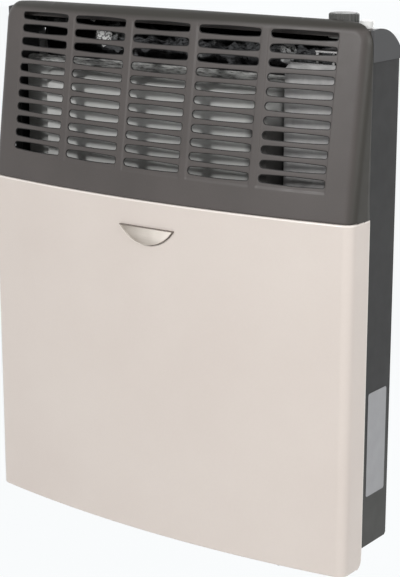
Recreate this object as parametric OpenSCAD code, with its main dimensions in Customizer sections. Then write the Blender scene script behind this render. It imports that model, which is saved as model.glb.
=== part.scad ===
// Wall mounted balanced-flue gas heater.
// The wall plane is y = 0 and the front faces -Y. Heights are measured from the
// cover's lower edge, and on_datum() puts the middle of the wall holes at zero.

/* [Casing] */
// Width over the front cover and the grille
body_w = 530; // [460:1:640]
// Height from the cover's lower edge to the grille's top
body_h = 635; // [600:1:765]
// Distance from the wall to the middle of the front cover
body_d = 125; // [122:1:150]
// Height of the front cover
cover_h = 415; // [345:1:500]
// How far the front's sides lie behind its middle
bow_depth = 23.4; // [15:0.1:28]
// Radius of the front's upright edges
edge_r = 14; // [10:1:18]
// Radius of the grille's top corners seen from the front
corner_r = 24; // [20:1:30]
// How far the grille's top lies behind its foot
grille_setback = 32; // [20:1:34]
// Depth of the side that shows behind the front returns
side_d = 61; // [58:1:66]
// Thickness of the sheet metal
sheet = 1; // [0.8:0.1:1.5]
// Gap between the front returns and the side panels
side_gap = 3; // [2:0.5:4]
// Height of the side panels' lower edge
side_foot = 21; // [15:1:30]
// Width of the folded edges of the front cover and the grille
fold_w = 11; // [6:1:14]

/* [Grille slots] */
// Number of columns
columns = 5; // [3:1:7]
// Number of slots in a column
rows = 11; // [7:1:13]
// Width of the bar between two columns
mullion_w = 13.7; // [10:0.1:20]
// Plain width at each side of the slots
slot_side = 37.3; // [30:0.1:45]
// Distance from the grille's top to the middle of the top row
slot_top = 21; // [20.9:0.1:26]
// Distance from the grille's foot to the middle of the lowest row
slot_foot = 41.9; // [35:0.1:60]
// Height of a slot in its middle
slot_mid_h = 9.8; // [8:0.1:11]
// Height of a slot near its ends
slot_end_h = 8; // [6:0.1:9]

/* [Top] */
// Radius of the curved top sheet
top_r = 58; // [54:1:62]
// Height of the top sheet's crown below the grille's top
top_drop = 11; // [9:1:16]
// Height of the end caps' straight lower edge below the grille's top
cap_drop = 46; // [42:1:52]
// Distance of the knob's axis from the right side
knob_in = 49.5; // [48:0.5:56]
// Distance of the igniter's axis from the right side
igniter_in = 20.5; // [20:0.5:24]
// Distance of both axes from the wall
controls_d = 45; // [42:0.5:47]
// Diameter of the knob
knob_d = 34; // [30:0.5:36]
// Height of the knob
knob_h = 27; // [20:1:28]
// Height of the knob's top above the grille's top
knob_up = 4; // [2:0.5:10]
// How far the knob can be pressed
knob_travel = 4; // [2:0.5:5]
// Diameter of the igniter's button
button_d = 15; // [12:0.5:15.5]
// How far the igniter's button can be pressed
button_travel = 8; // [4:0.5:8]

/* [Wall fixing and flue] */
// Distance between the wall holes across
hole_across = 250; // [220:1:420]
// Distance of the upper wall holes below the grille's top
hole_top_drop = 63; // [60:1:66]
// Height of the lower wall holes
hole_foot = 48; // [44:1:60]
// Diameter of the wall holes
hole_d = 8; // [6:0.5:10]
// Diameter of the exhaust spigot outside
exhaust_d = 76; // [60:1:90]
// Diameter of the air collar outside
intake_d = 127; // [120:1:136]
// Length of the spigot and the collar behind the wall plane
flue_out = 25; // [15:1:40]
// Distance of the flue's axis below the grille's top
flue_drop = 195; // [190:1:230]

/* [Chamber] */
// Distance from the wall to the chamber's front face
chamber_d = 78; // [74:1:84]
// Distance from the wall to the chamber's seam
seam_d = 50; // [46:1:54]
// Distance from the wall to the chamber's back face
chamber_back_d = 16; // [14:1:20]
// Distance of the seam's left edge from the left side
seam_left = 18.5; // [14:0.5:30]
// Width kept for the valve beside the chamber
valve_bay = 73.4; // [72:0.1:90]
// Height of the seam's lower edge
seam_foot = 75; // [70:1:90]
// Distance of the seam's top edge below the grille's top
seam_top_drop = 70; // [66:1:80]
// Width of the seam flange at the top and the bottom
seam_w = 8; // [6:0.5:12]
// Width of the seam flange at the sides
seam_side_w = 30; // [20:1:32]
// Height of the chamber's slope from its seam to its front face
slope_h = 12; // [8:1:20]
// Width of that slope at the sides
slope_w = 25; // [15:1:28]
// Radius of the front face's corners
face_r = 24; // [15:1:30]

/* [Gas parts] */
// Diameter of the gas inlet's pipe thread
inlet_d = 20.96; // [16:0.01:21]
// Length of the gas inlet's thread
thread_l = 18; // [12:1:20]
// Diameter of the burner tube
burner_d = 36; // [30:1:38]
// Height of the burner tube's axis
burner_z = 130; // [126:1:136]
// Diameter of the burner's gas pipe
burner_pipe_d = 9; // [6:0.5:10]
// Diameter of the pilot's gas pipe
pilot_pipe_d = 4; // [3:0.5:5]

/* [Hidden] */
$fn = 48;
fine = 720;
eps = 0.01;
// Gap between pieces that seat on each other
seat = 0.25;
// Radial clearance of a shaft that turns or slides in its bore
running = 0.06;

half_w = body_w / 2;
hole_top = body_h - hole_top_drop;
hole_up = hole_top - hole_foot;
datum_h = (hole_top + hole_foot) / 2;
// To the nearest hundredth, so that surfaces that meet share one exact radius
function hundredths(v) = round(v * 100) / 100;
bow_r = hundredths((half_w * half_w + bow_depth * bow_depth) / (2 * bow_depth));
edge_x = half_w - edge_r;
edge_a = asin(edge_x / (bow_r - edge_r));
edge_y = hundredths(bow_r - (bow_r - edge_r) * cos(edge_a));
panel_x = half_w - sheet - side_gap;
inner_x = panel_x - sheet;
return_y = -side_d;

seam_x0 = seam_left - half_w;
seam_x1 = half_w - valve_bay;
access_x = seam_x1 - 91;
pilot_x = access_x - 105;
pilot_z = burner_z + 34;
flue_z = body_h - flue_drop;

// Middle of the front's surface at a distance x from the middle, from the wall
function bow_at(x) = bow_r - sqrt(bow_r * bow_r - x * x) - body_d;

module on_datum() translate([0, 0, -datum_h]) children();
module side_of(s) if (s > 0) children(); else mirror([1, 0, 0]) children();
// Extrudes an outline given in y and z along x
module along_x(x0, x1) translate([x0, 0, 0])
    rotate([90, 0, 90]) linear_extrude(x1 - x0) children();
// Extrudes an outline given in x and z towards the front, from y1 to y0
module along_y(y0, y1) translate([0, y1, 0])
    rotate([90, 0, 0]) linear_extrude(y1 - y0) children();
module box(x0, x1, y0, y1, z0, z1) translate([x0, y0, z0])
    cube([x1 - x0, y1 - y0, z1 - z0]);
module rod_y(x, z, r, y0, y1) translate([x, y1, z])
    rotate([90, 0, 0]) cylinder(r = r, h = y1 - y0);
module rod_x(y, z, r, x0, x1) translate([x0, y, z])
    rotate([0, 90, 0]) cylinder(r = r, h = x1 - x0);
module rod_z(x, y, r, z0, z1) translate([x, y, z0]) cylinder(r = r, h = z1 - z0);
// Outline with round corners
module round_rect(w, h, r) {
    square([w - 2 * r, h], center = true);
    square([w, h - 2 * r], center = true);
    for (sx = [-1, 1], sy = [-1, 1])
        translate([sx * (w / 2 - r), sy * (h / 2 - r)]) circle(r);
}
// Screw with a domed head whose head rests at the origin and points to +Z
module screw(r, shank) {
    head_r = 1.9 * r;
    translate([0, 0, -shank]) cylinder(r = r, h = shank + eps);
    difference() {
        cylinder(r1 = head_r, r2 = 0.75 * head_r, h = 1.1 * r);
        translate([0, 0, 0.6 * r]) cube([2 * head_r, 0.4 * r, r], center = true);
    }
}
module screw_front(x, y, z, r, shank) translate([x, y, z])
    rotate([90, 0, 0]) screw(r, shank);

// ---- Pipes: straight runs joined by true bends ----
function unit(v) = v / norm(v);
function bend_cut(p, i, r) = i <= 0 || i >= len(p) - 1 ? 0 :
    let (u = unit(p[i] - p[i - 1]), w = unit(p[i + 1] - p[i]))
    r * tan(acos(u * w) / 2);
module pipe(p, r, bend) {
    for (i = [0 : len(p) - 2]) {
        u = unit(p[i + 1] - p[i]);
        a = p[i] + u * bend_cut(p, i, bend);
        b = p[i + 1] - u * bend_cut(p, i + 1, bend);
        translate(a) rotate([0, acos(u[2]), atan2(u[1], u[0])])
            cylinder(r = r, h = norm(b - a));
    }
    for (i = [1 : 1 : len(p) - 2]) {
        u = unit(p[i] - p[i - 1]);
        w = unit(p[i + 1] - p[i]);
        n = unit(w - (w * u) * u);
        k = cross(u, n);
        o = p[i] - u * bend_cut(p, i, bend) + n * bend;
        multmatrix([[-n[0], u[0], k[0], o[0]], [-n[1], u[1], k[1], o[1]],
                [-n[2], u[2], k[2], o[2]], [0, 0, 0, 1]])
            rotate_extrude(angle = acos(u * w)) translate([bend, 0]) circle(r);
    }
}

// ---- Front: bowed outline shared by the cover and the grille ----
// y runs back from the foremost line
module plan(inset, back) {
    far = bow_r * 1.05;
    intersection() {
        translate([0, bow_r]) circle(r = bow_r - inset, $fn = fine);
        polygon([[0, bow_r], [-far * sin(edge_a), bow_r - far * cos(edge_a)],
                [far * sin(edge_a), bow_r - far * cos(edge_a)]]);
        translate([-half_w, -1]) square([body_w, back + 1]);
    }
    for (s = [-1, 1])
        translate([s * edge_x, edge_y]) circle(r = edge_r - inset);
    translate([inset - half_w, edge_y]) square([body_w - 2 * inset, back - edge_y]);
}
module plan_wall(t, back) difference() {
    plan(0, back);
    plan(t, back + 1);
}
// Hem that turns in from a return's rear edge to the side panel
module hem(z0, z1, y1) for (s = [-1, 1]) side_of(s)
    box(panel_x + seat, half_w - sheet / 2, y1 - sheet, y1, z0, z1);

cover_back = body_d - side_d;
cover_fold_r = 12;
module front_cover() color([0.85, 0.81, 0.78]) on_datum() difference() {
    union() {
        translate([0, -body_d, 0]) {
            linear_extrude(cover_h) plan_wall(sheet, cover_back);
            for (z = [0, cover_h - sheet])
                translate([0, 0, z]) linear_extrude(sheet)
                    plan_wall(fold_w, cover_back - cover_fold_r);
        }
        hem(cover_fold_r, cover_h, return_y);
    }
    // round lower rear corners of the returns
    for (s = [-1, 1]) side_of(s) along_x(panel_x, half_w + 1) difference() {
        translate([return_y - cover_fold_r, -1])
            square([cover_fold_r + 1, cover_fold_r + 1]);
        translate([return_y - cover_fold_r, cover_fold_r]) circle(cover_fold_r);
    }
    for (s = [-1, 1])
        rod_z(s * screw_x, screw_y, 2.2, -1, sheet + 1);
}

// ---- Grille, modelled upright and then leaned back ----
grille_gap = 0.4;
grille_in = 1.5;
grille_foot = cover_h + grille_gap;
lean = atan(grille_setback / (body_h - grille_foot));
grille_h = hundredths((body_h - grille_foot + edge_r * sin(lean)) / cos(lean));
row_pitch = (grille_h - slot_top - slot_foot) / (rows - 1);
slot_w = (body_w - 2 * slot_side - (columns - 1) * mullion_w) / columns;

module leaned() translate([0, grille_in - body_d, grille_foot])
    rotate([-lean, 0, 0]) children();
// Outline seen from the front, with round top corners
module elevation(inset) {
    r = corner_r - inset;
    w = body_w - 2 * inset;
    top = grille_h - inset + 0.02;
    translate([-w / 2, -grille_h]) square([w, grille_h + top - r]);
    translate([r - w / 2, 0]) square([w - 2 * r, top]);
    for (s = [-1, 1]) translate([s * (w / 2 - r), top - r]) circle(r);
}
// Bowed block whose top front edge is rounded
module rounded_top(inset, deep) {
    a = edge_a + 3;
    foot = 30;
    run = deep + 60;
    z1 = grille_h - edge_r + foot;
    translate([0, bow_r, -foot]) rotate([0, 0, -90 - a])
        rotate_extrude(angle = 2 * a, $fn = fine) {
            translate([bow_r - run, 0]) square([run - inset, z1]);
            translate([bow_r - run, 0]) square([run - edge_r, z1 + edge_r - inset]);
            translate([bow_r - edge_r, z1]) circle(edge_r - inset, $fn = 48);
        }
}
// Solid inside the grille's skin
module grille_body(inset, deep) intersection() {
    translate([0, 0, -20 - inset]) linear_extrude(grille_h + 40) plan(inset, deep);
    rounded_top(inset, deep);
    along_y(-10, deep + 10) elevation(inset);
}
module slot_outline() {
    end_r = slot_end_h / 2;
    run = slot_w / 2 - end_r;
    rise = (slot_mid_h - slot_end_h) / 2;
    arc_r = (run * run + rise * rise) / (2 * rise);
    intersection() {
        square([2 * run, 2 * slot_mid_h], center = true);
        translate([0, arc_r - slot_mid_h / 2]) circle(arc_r, $fn = fine);
        translate([0, slot_mid_h / 2 - arc_r]) circle(arc_r, $fn = fine);
    }
    for (s = [-1, 1]) translate([s * run, 0]) circle(end_r);
}
module grille() color([0.42, 0.41, 0.42]) on_datum() {
    difference() {
        leaned() difference() {
            union() {
                difference() {
                    grille_body(0, 70);
                    grille_body(sheet, 72);
                }
                linear_extrude(sheet) plan_wall(fold_w, edge_y + 4);
            }
            for (c = [0 : columns - 1], r = [0 : rows - 1]) {
                x = slot_side + slot_w / 2 + c * (slot_w + mullion_w) - half_w;
                // follows the bow, so that the rows are level in the leaned front
                z = slot_foot + r * row_pitch + (bow_at(x) + body_d) * tan(lean);
                along_y(-5, 34) translate([x, z])
                    rotate(atan(x / bow_r * tan(lean))) slot_outline();
            }
        }
        // cut level at the foot and upright at the back
        box(-body_w, body_w, -2 * body_d, body_d, 0, grille_foot);
        box(-body_w, body_w, return_y - 3, body_d, 0, 2 * body_h);
    }
    hem(grille_foot + 3, body_h - 2 * corner_r, return_y - 3);
}

// ---- Badge: bare half-moon plate with a raised rim ----
badge_w = 81;
badge_h = 22;
badge_top = cover_h - 30.5;
badge_t = 2.6;
badge_rim = 2;
badge_r = (badge_w * badge_w / 4 + badge_h * badge_h) / (2 * badge_h);
module half_moon(inset) intersection() {
    translate([0, badge_r - badge_h]) circle(badge_r - inset, $fn = 180);
    translate([-badge_w, -badge_h]) square([2 * badge_w, badge_h - inset]);
}
// Layer that follows the bowed front, between two distances in front of it
module bow_layer(d0, d1, z0, z1) translate([0, bow_r - body_d, z0])
    linear_extrude(z1 - z0) difference() {
        circle(bow_r + d1, $fn = fine);
        circle(bow_r + d0, $fn = fine);
        translate([-2 * bow_r, -bow_r / 2]) square([4 * bow_r, 4 * bow_r]);
    }
module badge() color("silver") on_datum() {
    floor_t = badge_t - 0.9;
    intersection() {
        bow_layer(0.05, floor_t, badge_top - badge_h - 1, badge_top + 1);
        along_y(-body_d - 5, -body_d + 5) translate([0, badge_top]) half_moon(0);
    }
    intersection() {
        bow_layer(floor_t - eps, badge_t, badge_top - badge_h - 1, badge_top + 1);
        along_y(-body_d - 5, -body_d + 5) translate([0, badge_top]) difference() {
            half_moon(0);
            half_moon(badge_rim);
        }
    }
}

// ---- Side panels, back panel and base rail ----
panel_front = body_d - 30;
upper_front = side_d + 1;
side_fold = 14;
upper_fold = 10;
top_y = 6 - top_r;
top_z = body_h - top_drop - top_r;
module side_outline() intersection() {
    polygon([[0, side_foot + 3], [-3, side_foot], [-panel_front, side_foot],
            [-panel_front, cover_h - 28], [-upper_front, cover_h - 4],
            [-upper_front, body_h], [0, body_h]]);
    union() {
        translate([top_y, top_z]) circle(top_r - sheet - seat, $fn = 180);
        translate([-body_d, 0]) square([body_d, top_z + 20]);
    }
    translate([-body_d, 0]) square([body_d - seat / 10, body_h]);
}
module side_panel() on_datum() {
    difference() {
        along_x(inner_x, panel_x) side_outline();
        for (p = cap_pegs) rod_x(p[0], p[1], peg_r + 0.2, inner_x - 1, panel_x + 1);
    }
    // folded front edges
    box(inner_x - side_fold, inner_x + eps, -panel_front, sheet - panel_front,
        side_foot + 3, cover_h - 31);
    box(inner_x - upper_fold, inner_x + eps, -upper_front, sheet - upper_front,
        cover_h - 3, top_z + 20);
}
module side_panel_left() color([0.28, 0.28, 0.28]) mirror([1, 0, 0]) side_panel();
module side_panel_right() color([0.28, 0.28, 0.28]) side_panel();

back_t = 1.2;
back_top = body_h - 47;
back_foot = side_foot + 3;
bead_r = 6;
module back_panel() color([0.6, 0.61, 0.6]) on_datum() difference() {
    union() {
        box(seat - inner_x, inner_x - seat, -back_t, 0, back_foot, back_top);
        for (s = [-1, 1]) side_of(s)
            box(inner_x - seat - back_t, inner_x - seat, -side_fold, 0,
                back_foot, back_top);
        beads(bead_r);
    }
    beads(bead_r - back_t);
    box(-half_w, half_w, 0, 10, 0, body_h);
    rod_y(chamber_x, flue_z, intake_d / 2 + 0.5, -20, 10);
    for (sx = [-1, 1], z = [hole_foot, hole_top])
        rod_y(sx * hole_across / 2, z, hole_d / 2, -20, 10);
}
// Stiffening beads, which stop short of the air duct
module beads(r) {
    x0 = 60 - half_w;
    x1 = half_w - 70;
    rod_x(2, hole_foot + 18, r, x0, x1);
    for (z = [hole_foot + 182, hole_foot + 352]) {
        rod_x(2, z, r, x0, chamber_x - duct_w / 2 - 8);
        rod_x(2, z, r, chamber_x + duct_w / 2 + 8, x1);
    }
}

screw_x = 180;
screw_y = bow_at(screw_x) + 6.5;
rail_z = sheet + seat;
rail_t = 1.2;
rail_d = 15;
rail_lip = 13;
rail_end = 44;
tab_w = 18;
module base_rail() color([0.6, 0.61, 0.6]) on_datum() difference() {
    union() {
        box(seat - inner_x, inner_x - seat, -panel_front, rail_d - panel_front,
            rail_z, rail_z + rail_t);
        for (s = [-1, 1]) side_of(s) {
            box(inner_x - seat - rail_t, inner_x - seat, 2 - panel_front,
                rail_d - panel_front, rail_z, rail_end);
            box(screw_x - tab_w / 2, screw_x + tab_w / 2, screw_y - 4, 2 - panel_front,
                rail_z, rail_z + rail_t);
        }
        box(30 - half_w, half_w - 30, rail_d - 1 - panel_front, rail_d - panel_front,
            rail_z, rail_lip);
    }
    for (s = [-1, 1]) rod_z(s * screw_x, screw_y, 1.7, 0, 8);
}
module cover_screws() color("silver") on_datum() for (s = [-1, 1])
    translate([s * screw_x, screw_y, -seat / 5]) rotate([180, 0, 0]) screw(1.65, 7);

// ---- Top: curved sheet, its end caps and its foil lining ----
knob_x = half_w - knob_in;
button_x = half_w - igniter_in;
controls_y = -controls_d;
knob_top = body_h + knob_up;
knob_foot = knob_top - knob_h;
button_top = body_h - 3;
hole_gap = 1.4;
lip_y = upper_front + 1.6;
top_front_a = acos((lip_y - 1 + top_y) / (top_r));
module top_arc(r0, r1, y0, y1, x0, x1) intersection() {
    along_x(x0, x1) difference() {
        translate([top_y, top_z]) circle(r1, $fn = 180);
        translate([top_y, top_z]) circle(r0, $fn = 180);
    }
    box(x0, x1, y0, y1, top_z, body_h);
}
module top_sheet() color([0.36, 0.36, 0.36]) on_datum() difference() {
    union() {
        top_arc(top_r - sheet, top_r, -lip_y, -back_t - seat, -panel_x, panel_x);
        // front lip and rear flange
        box(-panel_x, panel_x, -lip_y, sheet - lip_y, top_lip_z - 8, top_lip_z);
        rear_x = inner_x - 2 * seat - back_t;
        box(-rear_x, rear_x, -back_t - seat - sheet, -back_t - seat,
            back_top - 9, top_rear_z);
    }
    rod_z(knob_x, controls_y, knob_d / 2 + hole_gap, top_z, body_h + 5);
    rod_z(button_x, controls_y, button_d / 2 + hole_gap, top_z, body_h + 5);
}
top_lip_z = top_z + sqrt(pow(top_r - sheet / 2, 2) - pow(lip_y + top_y, 2));
top_rear_z = top_z + sqrt(pow(top_r - sheet / 2, 2) - pow(top_y + back_t + seat, 2));

cap_t = half_w - panel_x - seat;
peg_r = 2.5;
cap_pegs = [[-50, body_h - cap_drop + 15], [-20, body_h - cap_drop + 15]];
module end_cap() on_datum() {
    cap_front = side_d + 2.7;
    intersection() {
        along_x(panel_x + seat, half_w) intersection() {
            translate([top_y, top_z]) circle(top_r + 0.8, $fn = 180);
            translate([-cap_front, body_h - cap_drop])
                square([cap_front - seat / 10, cap_drop]);
        }
        // softened outer edge
        translate([0, top_y, top_z]) rotate([0, 90, 0])
            cylinder(r1 = top_r + 1.6 + 2 * half_w, r2 = top_r + 0.8 - 2.0,
                h = half_w + 1.4);
    }
    for (p = cap_pegs) rod_x(p[0], p[1], peg_r, inner_x - 2, panel_x + seat + eps);
}
module end_cap_left() color([0.34, 0.34, 0.35]) mirror([1, 0, 0]) end_cap();
module end_cap_right() color([0.34, 0.34, 0.35]) end_cap();

lining_t = 4;
lining_drop = 54;
hole_clear = 14;
flue_clear = 18;
module foil_lining() color([0.8, 0.8, 0.78]) on_datum() {
    lining_y = -back_t - sheet - 2 * seat;
    lining_r = top_r - sheet - seat;
    x0 = 12 - half_w;
    x1 = half_w - valve_bay;
    difference() {
        union() {
            box(x0, x1, lining_y - lining_t, lining_y, hole_top - lining_drop, top_z + 18);
            top_arc(lining_r - lining_t, lining_r, -lip_y + 4, lining_y, x0, x1);
        }
        for (s = [-1, 1]) rod_y(s * hole_across / 2, hole_top, hole_clear, -20, 0);
        rod_y(chamber_x, flue_z, intake_d / 2 + flue_clear, -20, 0);
        box(chamber_x - duct_w / 2 - 1, chamber_x + duct_w / 2 + 1, -20, 0,
            0, flue_z + duct_up + 1);
    }
}

// ---- Combustion chamber: two pressings joined by a folded seam ----
seam_top = body_h - seam_top_drop;
chamber_x = (seam_x0 + seam_x1) / 2;
chamber_z = (seam_top + seam_foot) / 2;
seam_ww = seam_x1 - seam_x0;
seam_hh = seam_top - seam_foot;
root_w = seam_ww - 2 * seam_side_w;
root_h = seam_hh - 2 * seam_w;
face_w = root_w - 2 * slope_w;
face_h = root_h - 2 * slope_h;
face_left = chamber_x - face_w / 2;
face_foot = chamber_z - face_h / 2;
// Block with round corners, narrower at its front
module pan(y_root, y_face, inset) hull() {
    along_y(min(y_root, y_root + 0.1), max(y_root, y_root + 0.1))
        translate([chamber_x, chamber_z])
            round_rect(root_w - 2 * inset, root_h - 2 * inset, face_r + 4, $fn = 32);
    along_y(y_face, y_face + 0.1) translate([chamber_x, chamber_z])
        round_rect(face_w - 2 * inset, face_h - 2 * inset, face_r, $fn = 32);
}
// Inside of the seam's fold, and the seam's rear
fold_y = 1.4 * sheet - seam_d;
seam_back = 2.2 * sheet - seam_d;
// How far the fold reaches in over the other pressing's edge
fold_over = 5;
module seam_ring(y0, y1, hole_w, hole_h) difference() {
    along_y(y0, y1) translate([chamber_x, chamber_z])
        round_rect(seam_ww, seam_hh, 8);
    along_y(y0 - 1, y1 + 1) translate([chamber_x, chamber_z])
        round_rect(hole_w, hole_h, 6);
}
module chamber_front() color([0.75, 0.76, 0.76]) on_datum() difference() {
    union() {
        pan(-seam_d, -chamber_d, 0);
        along_y(-seam_d - sheet, -seam_d) translate([chamber_x, chamber_z])
            round_rect(seam_ww, seam_hh, 8);
        // fold that grips the other pressing
        seam_ring(-seam_d - eps, seam_back, seam_ww - 2 * sheet, seam_hh - 2 * sheet);
        seam_ring(fold_y, seam_back, seam_ww - 2 * fold_over, seam_hh - 2 * fold_over);
    }
    pan(eps - seam_d, sheet - chamber_d, sheet);
    // openings for the window, the burner and the pilot
    y0 = -chamber_d - 5;
    y1 = 4 - chamber_d;
    rod_y(window_x, window_z, window_r - 4, y0, y1);
    along_y(y0, y1) {
        translate([access_x, burner_z]) round_rect(burner_hole[0], burner_hole[1], 5);
        translate([pilot_x, pilot_z]) round_rect(pilot_hole[0], pilot_hole[1], 5);
    }
    for (p = concat(plate_screw_at, window_screw_at)) rod_y(p[0], p[1], 2.05, y0, y1);
    // the fold's inside takes the other pressing's edge
    seam_slot();
}
module seam_slot() along_y(-seam_d, fold_y) translate([chamber_x, chamber_z])
    round_rect(seam_ww - 2 * sheet, seam_hh - 2 * sheet, 7);
module chamber_back() color([0.72, 0.73, 0.73]) on_datum() difference() {
    y1 = -chamber_back_d;
    union() {
        along_y(0.2 - seam_d, 0.2 + sheet - seam_d) translate([chamber_x, chamber_z])
            round_rect(seam_ww - 2 * sheet - 0.6, seam_hh - 2 * sheet - 0.6, 6.7);
        along_y(0.2 - seam_d, y1) translate([chamber_x, chamber_z])
            round_rect(root_w, root_h, face_r);
    }
    along_y(-seam_d - 1, y1 - sheet) translate([chamber_x, chamber_z])
        round_rect(root_w - 2 * sheet, root_h - 2 * sheet, face_r - sheet);
    rod_y(chamber_x, flue_z, exhaust_d / 2 - 1, -40, 0);
    along_y(-40, 0) translate([chamber_x, inlet_z]) round_rect(120, 22, 6);
    for (a = [45 : 90 : 315])
        rod_y(chamber_x + flange_pcd_r * cos(a), flue_z + flange_pcd_r * sin(a),
            2.2, -40, 0);
}
support_w = 18;
support_h = 24;
support_t = 1.5;
support_in = 4;
support_foot = [seam_foot + 70, chamber_z - 20, seam_top - 88];
module chamber_supports() color([0.6, 0.61, 0.6]) on_datum() {
    y0 = seam_back + seat;
    y1 = -back_t - seat;
    for (x = [seam_x0 + support_in, seam_x1 - support_in - support_w], z = support_foot) {
        box(x, x + support_w, y0, y0 + support_t, z, z + support_h);
        box(x, x + support_w, y0, y1, z, z + support_t);
        box(x, x + support_w, y1 - support_t, y1, z, z + support_h);
    }
}
module baffle() color([0.55, 0.52, 0.5]) on_datum() {
    t = 1.2;
    z = flue_z - exhaust_d / 2 - 34;
    // stops short of the front, where the hot gas passes
    y0 = sheet + seat + 16 - chamber_d;
    y1 = -chamber_back_d - sheet - seat;
    x0 = face_left + 30;
    x1 = x0 + face_w - 60;
    box(x0, x1, y0, y1, z, z + t);
    box(x0, x1, y1 - t, y1, z, z + 12);
    box(x0, x1, y0, y0 + t, z, z + 16);
}

// ---- Balanced flue: exhaust inside, air around it ----
flange_r = exhaust_d / 2 + 12;
flange_pcd_r = exhaust_d / 2 + 7;
gasket_t = 1.5;
duct_w = 142;
duct_up = 72;
inlet_z = seam_foot + 32;
module exhaust_spigot() color([0.7, 0.71, 0.71]) on_datum() {
    y0 = gasket_t - chamber_back_d;
    difference() {
        union() {
            rod_y(chamber_x, flue_z, flange_r, y0, y0 + 1.2);
            rod_y(chamber_x, flue_z, exhaust_d / 2, y0, flue_out);
        }
        rod_y(chamber_x, flue_z, exhaust_d / 2 - 1, -40, flue_out + 1);
        for (a = [45 : 90 : 315])
            rod_y(chamber_x + flange_pcd_r * cos(a), flue_z + flange_pcd_r * sin(a),
                2.2, -40, 0);
    }
}
module flue_gasket() color([0.9, 0.9, 0.86]) on_datum() difference() {
    rod_y(chamber_x, flue_z, flange_r, 0.05 - chamber_back_d, gasket_t - 0.05 - chamber_back_d);
    rod_y(chamber_x, flue_z, exhaust_d / 2 - 0.8, -40, 0);
    for (a = [45 : 90 : 315])
        rod_y(chamber_x + flange_pcd_r * cos(a), flue_z + flange_pcd_r * sin(a),
            2.4, -40, 0);
}
module flue_screws() color("silver") on_datum() for (a = [45 : 90 : 315])
    translate([chamber_x + flange_pcd_r * cos(a), gasket_t + 1.3 - chamber_back_d,
            flue_z + flange_pcd_r * sin(a)])
        rotate([-90, 0, 0]) screw(2, 6);
// The collar's neck is swaged smaller where it passes through the back panel
collar_r = intake_d / 2;
neck_swage = 0.6;
swage_y = neck_swage + 1;
module air_collar() color([0.7, 0.71, 0.71]) on_datum() translate([chamber_x, 0, flue_z])
    rotate([-90, 0, 0]) rotate_extrude() polygon([
        [collar_r - neck_swage - 1, -back_t - seat - 1],
        [collar_r + 5, -back_t - seat - 1],
        [collar_r + 5, -back_t - seat],
        [collar_r - neck_swage, -back_t - seat],
        [collar_r - neck_swage, swage_y - neck_swage],
        [collar_r, swage_y],
        [collar_r, flue_out],
        [collar_r - 1, flue_out],
        [collar_r - 1, swage_y],
        [collar_r - neck_swage - 1, swage_y - neck_swage]]);
module air_duct() color([0.7, 0.71, 0.71]) on_datum() {
    z0 = inlet_z - 18;
    z1 = flue_z + duct_up;
    difference() {
        along_y(seat - chamber_back_d, -back_t - seat)
            translate([chamber_x, (z0 + z1) / 2]) round_rect(duct_w, z1 - z0, 20);
        along_y(-40, 0) translate([chamber_x, (z0 + z1) / 2])
            round_rect(duct_w - 2 * sheet, z1 - z0 - 2 * sheet, 20 - sheet);
    }
}

// ---- Burner with its access plate and injector ----
face_y = -chamber_d;
neck_r = 12;
elbow_r = 26;
burner_y = -(seam_d - 2);
plate_y = face_y - 1.6;
plate_t = 1.5;
// Width and height of the two plates and of the openings that they close
burner_plate = [66, 56];
burner_hole = [50, 38];
pilot_cover = [64, 40];
pilot_hole = [50, 24];
module burner_tube() color([0.7, 0.7, 0.68]) on_datum() {
    r = burner_d / 2;
    x0 = face_left + 28;
    x1 = access_x - elbow_r - 22;
    difference() {
        union() {
            rod_x(burner_y, burner_z, r, x0, x1);
            translate([x1, burner_y, burner_z]) rotate([0, 90, 0])
                cylinder(r1 = r, r2 = neck_r, h = 22);
            translate([access_x - elbow_r, burner_y - elbow_r, burner_z])
                rotate_extrude(angle = 90) translate([elbow_r, 0]) circle(neck_r);
            rod_y(access_x, burner_z, neck_r, plate_y + 2.2, burner_y - elbow_r);
        }
        rod_x(burner_y, burner_z, r - 1, x0 + 1, x1 + eps);
        translate([x1, burner_y, burner_z]) rotate([0, 90, 0])
            cylinder(r1 = r - 1, r2 = neck_r - 1, h = 22);
        translate([access_x - elbow_r, burner_y - elbow_r, burner_z])
            rotate_extrude(angle = 90) translate([elbow_r, 0]) circle(neck_r - 1);
        rod_y(access_x, burner_z, neck_r - 1, plate_y, burner_y - elbow_r + eps);
        for (x = [x0 + 8 : 8 : x1 - 8])
            box(x, x + 1.6, burner_y - 9, burner_y + 9, burner_z, burner_z + r + 5);
    }
}
module burner_saddle() color([0.6, 0.61, 0.6]) on_datum() {
    y1 = -chamber_back_d - sheet - seat;
    for (x = [face_left + 46, access_x - elbow_r - 60]) difference() {
        box(x, x + 10, burner_y - 8, y1, burner_z - burner_d / 2 - 8, burner_z - 6);
        rod_x(burner_y, burner_z, burner_d / 2 + seat, x - 1, x + 11);
    }
}
module access_gasket() color([0.9, 0.9, 0.86]) on_datum() difference() {
    along_y(plate_y + 0.05, face_y - 0.05) {
        translate([access_x, burner_z]) round_rect(burner_plate[0], burner_plate[1], 5);
        translate([pilot_x, pilot_z]) round_rect(pilot_cover[0], pilot_cover[1], 5);
    }
    along_y(plate_y - 2, face_y + 2) {
        translate([access_x, burner_z])
            round_rect(burner_hole[0] - 2, burner_hole[1] - 2, 5);
        translate([pilot_x, pilot_z]) round_rect(pilot_hole[0] - 2, pilot_hole[1] - 2, 5);
    }
    for (p = plate_screw_at) rod_y(p[0], p[1], 2.2, plate_y - 3, face_y + 3);
}
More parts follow.
